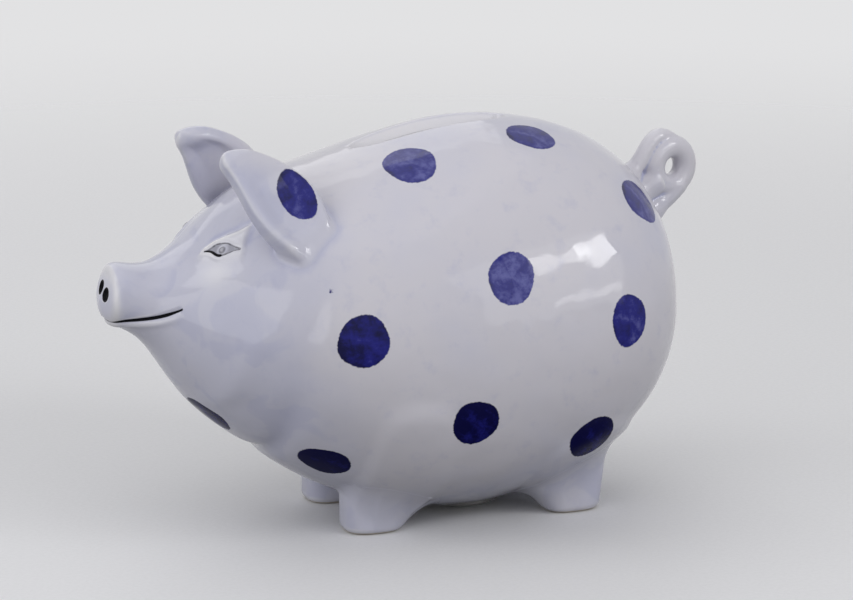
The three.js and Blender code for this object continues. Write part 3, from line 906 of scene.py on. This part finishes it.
# Blue dots: place in the side view along and up, half-sizes along and across, turn in degrees, depth of blue.
# The depth differs from dot to dot, and the dots low on the body are set deeper as painted shade.
# On an ear the place is along its axis and across it.
dots = {
    "left": [(5.7, 96.4, 6.6, 7.4, 0, 0.3), (-28.8, 100.3, 6.3, 6.4, 10, 0.4),
             (-54.9, 83.6, 6.4, 6.8, 30, 0.4), (-11.5, 70.9, 6.1, 6.8, 0, 0.15),
             (27.1, 57.4, 6.7, 6.5, 0, 0.8), (-44.4, 56.8, 5.9, 6.6, 0, 0.45),
             (-2.0, 34.1, 6.4, 6.3, 35, 1.15), (-37.3, 24.9, 7.2, 7.0, 40, 1.2),
             (32.0, 22.4, 7.0, 6.1, -35, 1.4), (56.1, 32.0, 6.6, 6.4, 0, 1.0),
             (33.4, 69.9, 0.85, 0.8, 0, 0.6)],
    "right": [(12, 93, 6.6, 6.3, 20, 0.5), (-24, 99, 6.4, 6.6, 0, 0.45), (-51, 87, 6.2, 6.7, -20, 0.5),
              (-15, 72, 6.6, 6.4, 0, 0.4), (24, 62, 6.4, 6.7, 30, 0.6), (-47, 54, 6.2, 6.5, 15, 0.5),
              (3, 38, 6.5, 6.1, -30, 0.8), (-33, 28, 6.2, 5.9, 20, 0.9), (36, 27, 6.3, 6.0, 10, 0.9)],
    "ears": {1: (17.2, 8.3, 6.9, 4.3, 5, 0.5), -1: (16.5, 4.5, 5.4, 4.4, 8, 0.5)},
    "wobble": 0.035,
    "reachOff": (9, 2.6),  # how far off the skin, and off an ear, a dot still paints
}


def dotFrame(center, normal, forward, up, side, long, short, degrees, depth):
    # middle, normal and the two turned directions of a dot, mirrored to its side, half-sizes and depth
    swing = np.radians(degrees)
    first = np.cos(swing) * forward + np.sin(swing) * up
    second = np.cos(swing) * up - np.sin(swing) * forward
    return [line * np.array((1, side, 1)) for line in (center, normal, first, second)] + [long, short, depth]


def dotFrames():
    # each dot's middle on the skin with two directions in the skin there
    frames = []
    for side, row in ((1, "left"), (-1, "right")):
        for x, z, *shape in dots[row]:
            center, normal = sidePoint(x, z)
            forward = unit(np.array((1.0, 0, 0)) - normal * normal[0])
            up = np.cross(normal, forward) * np.sign(np.cross(normal, forward)[2])
            frames.append(dotFrame(center, normal, forward, up, side, *shape))
    return frames


def earDotFrames(side):
    # the dot's middle near the ear's outer face, with the ear's own directions
    along, across, *shape = dots["ears"][side]
    share = np.array(along / np.linalg.norm(earAxis))
    center = earPoint(share, np.array(across), np.array(ear["curl"] * across ** 2 + 2))
    return [dotFrame(center, earOutward, earForward, earAcross, side, *shape)]


def paintDots(piece, frames, reachOff):
    # signed distance to the nearest dot's wavering oval edge, and the place within that dot
    points = vertexPlaces(piece)
    edge = np.full(len(points), 40.0)
    where = np.zeros((len(points), 3))
    for number, (center, normal, first, second, long, short, depth) in enumerate(frames):
        offset = points - center
        u, v, off = offset @ first, offset @ second, offset @ normal
        angle = np.arctan2(v / short, u / long)
        wave = 1 + dots["wobble"] * (np.sin(2 * angle + number) + 0.7 * np.sin(3 * angle + 2.3 * number)
                                     + 0.4 * np.sin(5 * angle + 4.1 * number))
        distance = (np.hypot(u / long, v / short) / wave - 1) * (long + short) / 2
        nearer = (distance < edge) & (np.abs(off) < reachOff)
        edge = np.where(nearer, distance, edge)
        where[nearer] = np.stack([u, v, np.full(u.shape, depth)], -1)[nearer]
    store(piece, "dotEdge", edge)
    store(piece, "dotPlace", where)


def paintFace(piece):
    # distances for the painted lines of the mouth, the lower and the upper lid, signed so that they cross 0
    # on the line; their half-widths, below 0 past their ends; the distance to the nostrils; the place in the
    # eye; and how strong the painted highlight on the brow, the cheek and the snout's rim is
    points = vertexPlaces(piece)
    head = points[:, 0] > body["faceFrom"]
    face = toLeft(onSkin(points[head]))
    mouthGap, share = mouthDistance(face)
    a, b, c = eyeFrame(face)
    onLids = np.abs(c) < eye["lidReach"][0]
    near = (np.hypot(a, b) < eye["lidReach"][1]) & onLids
    across = (np.abs(a) < 5.75) & (np.abs(b) < 4)
    lower, upper = np.full((2, len(face)), 5.0)
    lower[near] = lidDistance(lowerLid, a[near], b[near])
    upper[near] = lidDistance(upperLid, a[near], b[near])
    black = eye["strokeHalf"] * ease(-6.6, -3.8, a) * ease(0.9, -0.3, a) - 4 * ease(0.2, 1, a)
    lines, halves = np.full((2, len(points), 3), 5.0) * np.array([1, 0])[:, None, None]
    lines[head] = np.stack([mouthGap, lower, upper], -1)
    taper = mouth["halfWidth"] * (1 - 0.45 * ease(0.75, 1, share)) - 5 * (share > 0.995)
    lidHalves = [np.where(across, half, -5) for half in (black, eye["lidLineHalf"])]
    halves[head] = np.stack([taper, *lidHalves], -1)
    holes = np.full(len(points), 5.0)
    holes[head] = (nostrilField(points[head]) - 1.1) * nostril["halfSize"][0]
    inEye = np.full((len(points), 3), 40.0)
    inEye[head] = np.stack([a - eye["ballAt"][0], b - eye["ballAt"][1], 40.0 * ~onLids], -1)
    opening = np.full(len(points), -5.0)
    opening[head] = np.where(onLids, insideLids(a, b), -5)
    browShare = np.where(points[head][:, 1] < 0, eye["rightBrow"], 1)
    plate, crest = np.array(browField(a, b)) * browShare
    # painted highlight: whiter on the brow's plate and crest and on the cheek, and along the snout's rim
    # below
    faceHighlight = (0.45 * plate + 0.4 * crest) * (1 - ease(-0.2, 0.3, insideLids(a, b))) + 0.5 * cheekField(a, b)
    along, share = place(points[head])
    rim = bell(along, snout["rimAlong"] - 0.01, 0.02) * (points[head][:, 0] > 74)
    paintedHighlight = np.zeros(len(points))
    paintedHighlight[head] = np.clip(faceHighlight * (np.abs(c) < eye["reach"][0]) + 0.7 * rim, 0, 1)
    painted = {"lines": lines, "lineHalves": halves, "holes": holes, "inEye": inEye, "opening": opening,
               "brow": paintedHighlight}
    for name, values in painted.items():
        store(piece, name, values)


def paintPools(piece, rings):
    # glaze gathers in the creases: in the neck's valley, near the pieces' landing lines and round the brow
    points = vertexPlaces(piece)
    x, z = points[:, 0], points[:, 2]
    neck = (x - listed(folds["neckLine"], z)) / listed(folds["neckWidth"], z)
    pool = listed(folds["neckDepth"], z) * bell(neck * 1.4) * 0.3
    for ring, strength in rings:
        low, high = ring.min(0) - 4, ring.max(0) + 4
        near = ((points > low) & (points < high)).all(-1)
        gaps = np.linalg.norm(points[near][:, None] - ring, axis=-1).min(-1)
        pool[near] = np.maximum(pool[near], strength * bell(gaps))
    a, b, c = eyeFrame(toLeft(points))
    above = b - listed(eye["browCrest"], a)
    behind = a - eye["browRear"][0] - eye["browRear"][1] * b
    valley = bell(above, 1.6, 1.1) * ease(-7, -4, a) * ease(9, 6, a)
    valley = np.maximum(valley, bell(behind, 1.0, 0.9) * ease(0, 3, b) * ease(11, 8, b))
    pool = np.maximum(pool, 0.7 * valley * (np.abs(c) < eye["reach"][0]) * (x > body["faceFrom"]))
    store(piece, "pool", np.clip(pool, 0, 1))


def paintFlow(piece, clear):
    # glaze thins over ridges and gathers in creases: mean over the edges of twice the height of the far end
    # above the vertex's tangent plane over the edge's squared length, evened out among neighbours
    points = vertexPlaces(piece)
    count = len(points)
    normals = np.empty(count * 3, np.float32)
    piece.data.vertices.foreach_get("normal", normals)
    normals = normals.reshape(-1, 3).astype(float)
    ends = np.empty(len(piece.data.edges) * 2, np.int32)
    piece.data.edges.foreach_get("vertices", ends)
    ends = np.concatenate([ends.reshape(-1, 2), ends.reshape(-1, 2)[:, ::-1]])
    reach = points[ends[:, 1]] - points[ends[:, 0]]
    bend = 2 * (reach * normals[ends[:, 0]]).sum(-1) / np.maximum((reach ** 2).sum(-1), 0.004)
    degree = np.maximum(np.bincount(ends[:, 0], minlength=count), 1)
    bend = np.bincount(ends[:, 0], np.clip(bend, -3, 3), count) / degree
    for _ in range(5):
        bend = (bend + np.bincount(ends[:, 0], bend[ends[:, 1]], count) / degree) / 2
    # the slot's bevelled lips are whitened all over: partly thin glaze, partly a painted highlight for their
    # lit walls
    lip = ease(0.2, 0.8, lipDrop(points + (0, 0, 1.5)))
    store(piece, "ridge", np.maximum(ease(-0.14, -0.55, bend) * clear, lip))
    store(piece, "crease", ease(0.1, 0.6, bend) * clear)


def socket(tree, link, target):
    # a number or colour is set on the socket itself, an output is linked to it
    if isinstance(link, bpy.types.NodeSocket):
        tree.links.new(link, target)
    else:
        target.default_value = link


def node(tree, kind, output=0, settings=None, **inputs):
    made = tree.nodes.new("ShaderNode" + kind)
    for name, value in (settings or {}).items():
        setattr(made, name, value)
    for name, value in inputs.items():
        key = int(name[1:]) if name[0] == "i" and name[1:].isdigit() else name.replace("_", " ")
        socket(tree, value, made.inputs[key])
    return made.outputs[output]


def blendColours(tree, share, first, second):
    made = tree.nodes.new("ShaderNodeMix")
    made.data_type = "RGBA"
    for index, value in ((0, share), (6, first), (7, second)):
        socket(tree, value, made.inputs[index])
    return made.outputs[2]


def stepped(tree, value, low, high, fromLow=0.0, toHigh=1.0):
    return node(tree, "MapRange", settings={"interpolation_type": "SMOOTHSTEP"}, i0=value, i1=low, i2=high,
                i3=fromLow, i4=toHigh)


def reckon(tree, operation, first, second=0.0):
    return node(tree, "Math", settings={"operation": operation}, i0=first, i1=second)


def times(tree, first, second):
    return reckon(tree, "MULTIPLY", first, second)


def attribute(tree, name, output="Fac"):
    return node(tree, "Attribute", output=output, settings={"attribute_name": name})


def newMaterial(name):
    # a material, its tree, its shader and the piece's own coordinates
    material = bpy.data.materials.new(name)
    material.use_nodes = True
    tree = material.node_tree
    return material, tree, tree.nodes["Principled BSDF"], node(tree, "TexCoord", output="Object")


glaze = {
    "coolWhite": (0.545, 0.548, 0.65, 1),
    "warmWhite": (0.612, 0.598, 0.65, 1),
    "pooled": (0.40, 0.415, 0.58, 1),
    # white of thin glaze over ridges; also the painted highlight on the brow, cheek, snout rim and the slot's
    # lips
    "thinGlazeAndHighlight": (0.80, 0.79, 0.80, 1),
    "deepBlue": (0.003, 0.003, 0.048, 1),
    "brightBlue": (0.012, 0.013, 0.185, 1),
    "thinBlue": (0.095, 0.1, 0.33, 1),
    "ink": (0.006, 0.006, 0.008, 1),
    "wash": (0.085, 0.085, 0.105, 1),
    "bareClay": (0.62, 0.55, 0.45, 1),
    "roughness": (0.05, 0.12),
    "gloss": 0.36,
    "darkGloss": (0.02, 0.4),  # of the dots and the black lines, low down and high up
    "inkGloss": 0.1,  # what the black lines keep of it
    "eyeShade": (0.27, 0.27, 0.31, 1),
}


def paintedDots(tree, tone, fine):
    # cobalt laid on in strokes, blotted and grainy, darker where it gathers along the edge
    edge = attribute(tree, "dotEdge")
    within = attribute(tree, "dotPlace", "Vector")
    depth = node(tree, "SeparateXYZ", output=2, Vector=within)
    stretched = node(tree, "Mapping", Vector=within, Scale=(0.16, 0.75, 5.0))
    strokes = node(tree, "TexNoise", Vector=stretched, Scale=1.3, Detail=4.0, Roughness=0.55)
    blots = node(tree, "TexNoise", Vector=within, Scale=0.24, Detail=4.0, Roughness=0.6)
    grains = node(tree, "TexNoise", Vector=within, Scale=1.5, Detail=3.0, Roughness=0.7)
    ragged = node(tree, "MapRange", i0=fine, i1=0.0, i2=1.0, i3=-0.25, i4=0.25)
    painted = stepped(tree, reckon(tree, "ADD", edge, ragged), 0.16, -0.16)
    load = stepped(tree, edge, -1.4, -0.1, 0.0, 0.07)
    # each dot's listed depth darkens it, deepest for the dots low on the body as painted shade
    for layer, weight in ((strokes, 0.2), (blots, 1.0), (grains, 0.2), (depth, 0.35)):
        load = reckon(tree, "ADD", load, times(tree, layer, weight))
    blue = blendColours(tree, stepped(tree, load, 0.6, 0.88), glaze["thinBlue"], glaze["brightBlue"])
    blue = blendColours(tree, stepped(tree, load, 0.84, 1.18), blue, glaze["deepBlue"])
    return blendColours(tree, painted, tone, blue), painted


def paintedFace(tree, tone, fine):
    # painted highlight on the brow, the cheek and the snout's rim, painted shade in the eye's opening, grey
    # lid lines and iris, black mouth line, stroke under the eye and nostrils
    # painted highlight from the brow attribute, which covers the brow, the cheek and the snout's rim
    tone = blendColours(tree, attribute(tree, "brow"), tone, glaze["thinGlazeAndHighlight"])
    gaps = tree.nodes.new("ShaderNodeSeparateXYZ")
    halves = tree.nodes.new("ShaderNodeSeparateXYZ")
    tree.links.new(attribute(tree, "lines", "Vector"), gaps.inputs[0])
    tree.links.new(attribute(tree, "lineHalves", "Vector"), halves.inputs[0])
    # the mouth, the stroke under the eye and the upper lid, and the lower lid drawn as thinly as the upper
    mouthLine, lower, upper, under = [
        reckon(tree, "SUBTRACT", reckon(tree, "ABSOLUTE", gaps.outputs[line]), halves.outputs[half])
        for line, half in ((0, 0), (1, 1), (2, 2), (1, 2))]
    thin = reckon(tree, "MINIMUM", upper, under)
    wash = stepped(tree, fine, 0.25, 0.6, 0.6, 0.9)
    tone = blendColours(tree, times(tree, stepped(tree, thin, 0.14, -0.1), wash), tone, glaze["wash"])
    inEye = attribute(tree, "inEye", "Vector")
    radial = node(tree, "VectorMath", output=1, settings={"operation": "LENGTH"}, i0=inEye)
    # painted shade over the eyeball inside the lids, deeper away from the iris
    shade = times(tree, stepped(tree, attribute(tree, "opening"), 0.0, 0.35),
                  stepped(tree, radial, 0.8, 2.4, 0.1, 0.75))
    tone = blendColours(tree, shade, tone, glaze["eyeShade"])
    iris = stepped(tree, radial, eye["irisRadius"] + 0.12, eye["irisRadius"] - 0.2, 0.0, 0.9)
    iris = times(tree, iris, stepped(tree, radial, 0.2, 0.7, 0.45, 0.9))
    tone = blendColours(tree, times(tree, iris, wash), tone, glaze["wash"])
    black = reckon(tree, "MINIMUM", reckon(tree, "MINIMUM", mouthLine, lower), attribute(tree, "holes"))
    inked = stepped(tree, black, 0.1, -0.08)
    return blendColours(tree, inked, tone, glaze["ink"]), inked


def glazeMaterial(name, dotted=False, face=False, soles=False):
    # clouded bluish-white glaze, deeper in creases and thinner over ridges, with what is painted on the piece
    material, tree, shader, place = newMaterial(name)
    clouds = node(tree, "TexNoise", Vector=place, Scale=26.0, Detail=3.0, Roughness=0.55)
    mottle = node(tree, "TexNoise", Vector=place, Scale=210.0, Detail=4.0, Roughness=0.6)
    fine = node(tree, "TexNoise", Vector=place, Scale=1500.0, Detail=2.0)
    # the tone is warmer towards the rump, and cooler and darker towards the head and below about 30 mm
    ahead = stepped(tree, node(tree, "SeparateXYZ", output=0, Vector=place), 0.01, 0.06, 0.12, -0.1)
    height = node(tree, "SeparateXYZ", output=2, Vector=place)
    low = stepped(tree, height, 0.008, 0.03, -0.3, 0.0)
    warm = stepped(tree, reckon(tree, "ADD", clouds, reckon(tree, "ADD", ahead, low)), 0.3, 0.7)
    tone = blendColours(tree, warm, glaze["coolWhite"], glaze["warmWhite"])
    washes = node(tree, "TexNoise", Vector=place, Scale=80.0, Detail=3.0, Roughness=0.5, Distortion=0.8)
    washed = times(tree, stepped(tree, washes, 0.5, 0.59), stepped(tree, warm, 0.0, 0.65, 0.32, 0.0))
    tone = blendColours(tree, washed, tone, glaze["pooled"])
    tone = blendColours(tree, stepped(tree, mottle, 0.52, 0.8, 0.0, 0.3), tone, glaze["pooled"])
    pool = times(tree, attribute(tree, "pool"), stepped(tree, mottle, 0.2, 0.6, 0.55, 1.0))
    tone = blendColours(tree, pool, tone, glaze["pooled"])
    tone = blendColours(tree, times(tree, attribute(tree, "crease"), 0.8), tone, glaze["pooled"])
    # whiter where the glaze thins over ridges, and the painted highlight on the slot's lips
    thinningAndHighlight = times(tree, attribute(tree, "ridge"), 0.9 if soles else 0.5)
    tone = blendColours(tree, thinningAndHighlight, tone, glaze["thinGlazeAndHighlight"])
    shader.inputs["Specular IOR Level"].default_value = glaze["gloss"]
    if dotted:
        tone, dark = paintedDots(tree, tone, fine)
        if face:
            tone, inked = paintedFace(tree, tone, fine)
            dark = reckon(tree, "MAXIMUM", dark, inked)
        darkGloss = stepped(tree, height, 0.03, 0.09, *glaze["darkGloss"])
        gloss = stepped(tree, dark, 0.0, 1.0, glaze["gloss"], darkGloss)
        if face:
            gloss = times(tree, gloss, stepped(tree, inked, 0.0, 1.0, 1.0, glaze["inkGloss"]))
        tree.links.new(gloss, shader.inputs["Specular IOR Level"])
    rough = stepped(tree, mottle, 0.3, 0.75, *glaze["roughness"])
    if soles:
        bare = attribute(tree, "bare")
        tone = blendColours(tree, bare, tone, glaze["bareClay"])
        rough = reckon(tree, "ADD", rough, times(tree, bare, 0.5))
    tree.links.new(tone, shader.inputs["Base Color"])
    tree.links.new(rough, shader.inputs["Roughness"])
    peel = node(tree, "TexNoise", Vector=place, Scale=120.0, Detail=2.0)
    waves = node(tree, "TexNoise", Vector=place, Scale=48.0, Detail=2.0)
    wavy = node(tree, "Bump", Strength=0.6, Distance=0.0015, Height=waves)
    bump = node(tree, "Bump", Strength=0.12, Distance=0.0006, Height=peel, Normal=wavy)
    tree.links.new(bump, shader.inputs["Normal"])
    return material


rubber = {
    "colour": (0.15, 0.148, 0.147, 1),
    "worn": (0.22, 0.217, 0.214, 1),
}


def rubberMaterial(name):
    # dull grey rubber with a bloom of paler patches and a fine grain
    material, tree, shader, place = newMaterial(name)
    patches = node(tree, "TexNoise", Vector=place, Scale=160.0, Detail=4.0)
    grain = node(tree, "TexNoise", Vector=place, Scale=2600.0, Detail=2.0)
    tone = blendColours(tree, stepped(tree, patches, 0.4, 0.7), rubber["colour"], rubber["worn"])
    tree.links.new(tone, shader.inputs["Base Color"])
    tree.links.new(stepped(tree, patches, 0.3, 0.7, 0.55, 0.75), shader.inputs["Roughness"])
    bump = node(tree, "Bump", Strength=0.25, Distance=0.0001, Height=grain)
    tree.links.new(bump, shader.inputs["Normal"])
    return material


def dress(piece, material, bodyName, nodeName):
    piece.data.materials.clear()
    piece.data.materials.append(material)
    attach(piece, bodyName)
    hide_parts(nodeName)


feetPlan = [("foot_front_left", foot["frontX"], 1), ("foot_front_right", foot["frontX"], -1),
            ("foot_rear_left", foot["rearX"], 1), ("foot_rear_right", foot["rearX"], -1)]
earPlan = [("ear_left", 1), ("ear_right", -1)]

footGlaze = glazeMaterial("footGlaze", dotted=True, soles=True)
rings = []
for nodeName, x, side in feetPlan:
    piece, landing = makeFoot(nodeName + "_glazed", x, side)
    points = vertexPlaces(piece)
    rings.append((landing, foot["pool"]))
    paintDots(piece, dotFrames(), dots["reachOff"][0])
    paintPools(piece, rings[-1:])
    paintFlow(piece, ease(0, 0.7, skinGap(points)))
    store(piece, "bare", ease(0.75, 0.25, points[:, 2]))
    dress(piece, footGlaze, "bank", nodeName)
print("feet made")

earGlaze = glazeMaterial("earGlaze", dotted=True)
for nodeName, side in earPlan:
    piece, landing = makeEar(nodeName + "_glazed", side)
    rings.append((landing, ear["pool"]))
    paintDots(piece, earDotFrames(side), dots["reachOff"][1])
    paintPools(piece, rings[-1:])
    paintFlow(piece, ease(0, 0.7, skinGap(vertexPlaces(piece))))
    dress(piece, earGlaze, "bank", nodeName)
print("ears made")

tailPiece = makeTail("tail_glazed")
paintPools(tailPiece, [])
paintFlow(tailPiece, 1)
dress(tailPiece, glazeMaterial("tailGlaze"), "bank", "tail")
print("tail made:", len(tailPiece.data.polygons), "faces")

shell = makeBody()
shell.name = "body_glazed"
paintDots(shell, dotFrames(), dots["reachOff"][0])
paintFace(shell)
paintPools(shell, rings)
paintFlow(shell, 1)
dress(shell, glazeMaterial("bodyGlaze", dotted=True, face=True), "bank", "body_shell")
print("body made:", len(shell.data.polygons), "faces")

bung = makeStopper("stopper_rubber")
dress(bung, rubberMaterial("stopperRubber"), "bung", "stopper")
print("stopper made")

studio = {
    "floor": (0.82, 0.82, 0.83, 1),
    "floorBounce": (0.2, 0.2, 0.205, 1),
    "background": (0.76, 0.76, 0.77, 1),
    "airLow": (0.16, 0.16, 0.165, 1),
    "airHigh": (0.5, 0.5, 0.515, 1),
    "airFrom": (0.42, 0.72, 0.55),  # the brighter side of the air: ahead, to the left and above
    "floorHalf": 1000,
    "floorDrop": 0.05,  # below the soles
    "floorFade": (0.28, 0.75),  # distance from the middle at which the floor runs out into the background
    "lampAim": (0, 0, 0.05),
    "lamps": [  # name, azimuth and elevation of its direction, distance, size, power
        ("window", -130, 27, 1.1, (0.24, 0.21), 1.35),
        ("windowSide", -144, 28, 1.1, (0.3, 0.12), 0.6),
        ("sill", -138, 10, 1.2, (0.5, 0.1), 0.45),
        ("side", -146, 20, 1.3, (1.0, 0.8), 2.6),
        ("overhead", 60, 78, 1.2, (1.6, 1.4), 2.45),
        ("ahead", 80, 33, 1.2, (0.55, 0.45), 1.4),
        ("front", 118, 11, 1.3, (1.1, 0.8), 4.5),
        ("right", 0, 42, 1.4, (1.2, 0.9), 3.0),
    ],
}


def toward(azimuth, elevation):
    # unit vector of an azimuth from -Y turning to +X and an elevation
    a, e = np.radians(azimuth), np.radians(elevation)
    return Vector((np.sin(a) * np.cos(e), -np.cos(a) * np.cos(e), np.sin(e)))


def floorMaterial(name):
    # pale floor for what the eye sees, darker for the light it throws back, open from below, and fading into
    # the background with the distance from the middle
    material, tree, shader, place = newMaterial(name)
    grain = node(tree, "TexNoise", Vector=place, Scale=900.0, Detail=3.0)
    colour = blendColours(tree, seenDirectly(tree), studio["floorBounce"], studio["floor"])
    shade = stepped(tree, grain, 0.3, 0.7, 0.97, 1.0)
    shaded = node(tree, "VectorMath", settings={"operation": "MULTIPLY"}, i0=colour, i1=shade)
    tree.links.new(shaded, shader.inputs["Base Color"])
    shader.inputs["Roughness"].default_value = 0.6
    shader.inputs["Specular IOR Level"].default_value = 0.2
    distance = node(tree, "VectorMath", output=1, settings={"operation": "LENGTH"}, i0=place)
    far = stepped(tree, distance, *studio["floorFade"])
    hidden = reckon(tree, "MAXIMUM", far, node(tree, "NewGeometry", output="Backfacing"))
    mixed = node(tree, "MixShader", i0=hidden, i1=shader.outputs[0], i2=node(tree, "BsdfTransparent"))
    tree.links.new(mixed, tree.nodes["Material Output"].inputs["Surface"])
    return material


def seenDirectly(tree):
    # 1 for rays from the camera and for those mirrored or let through on the way
    path = tree.nodes.new("ShaderNodeLightPath").outputs
    seen = reckon(tree, "MAXIMUM", path["Is Camera Ray"], path["Is Glossy Ray"])
    return reckon(tree, "MAXIMUM", seen, path["Is Transmission Ray"])


def makeStudio():
    corners = np.array([(-1, -1, 0), (1, -1, 0), (1, 1, 0), (-1, 1, 0)]) * studio["floorHalf"]
    corners = corners - (0, 0, studio["floorDrop"])
    ground = makeMesh("floor", corners, [(0, 1, 2, 3)])
    ground.data.materials.append(floorMaterial("paleFloor"))
    for name, azimuth, elevation, distance, size, power in studio["lamps"]:
        lamp = bpy.data.lights.new(name, "AREA")
        lamp.shape = "RECTANGLE"
        lamp.size, lamp.size_y = size
        lamp.energy = power
        holder = bpy.data.objects.new(name, lamp)
        direction = toward(azimuth, elevation)
        holder.location = Vector(studio["lampAim"]) + direction * distance
        holder.rotation_euler = (-direction).to_track_quat("-Z", "Y").to_euler()
        bpy.context.scene.collection.objects.link(holder)
    world = bpy.data.worlds.new("studioAir")
    bpy.context.scene.world = world
    world.use_nodes = True
    tree = world.node_tree
    background = tree.nodes["Background"]
    heading = node(tree, "TexCoord", output="Generated")
    facing = node(tree, "VectorMath", output=1, settings={"operation": "DOT_PRODUCT"}, i0=heading,
                  i1=studio["airFrom"])
    air = blendColours(tree, stepped(tree, facing, -0.8, 1.0), studio["airLow"], studio["airHigh"])
    colour = blendColours(tree, seenDirectly(tree), air, studio["background"])
    tree.links.new(colour, background.inputs["Color"])


view = {
    "azimuth": 159.6,
    "elevation": 13.95,
    "distance": 1.0,
    "target": (2, 0, 51.2),
    "aside": (7.54, 4.68),  # how far right of and above the target the picture's middle lies
    "lens": 162.3,
}


def makeCamera():
    back = toward(view["azimuth"], view["elevation"])
    a = np.radians(view["azimuth"])
    right = Vector((np.cos(a), np.sin(a), 0))
    up = back.cross(right)
    target = Vector(view["target"]) * mm
    place = target + back * view["distance"]
    aim = target + right * view["aside"][0] * mm + up * view["aside"][1] * mm
    data = bpy.data.cameras.new("camera")
    data.lens = view["lens"]
    data.sensor_width = 36
    data.clip_start = 0.01
    camera = bpy.data.objects.new("camera", data)
    camera.location = place
    camera.rotation_euler = (aim - place).to_track_quat("-Z", "Y").to_euler()
    bpy.context.scene.collection.objects.link(camera)
    bpy.context.scene.camera = camera


makeStudio()
makeCamera()
bpy.context.scene.view_settings.view_transform = "Standard"
print("studio made")
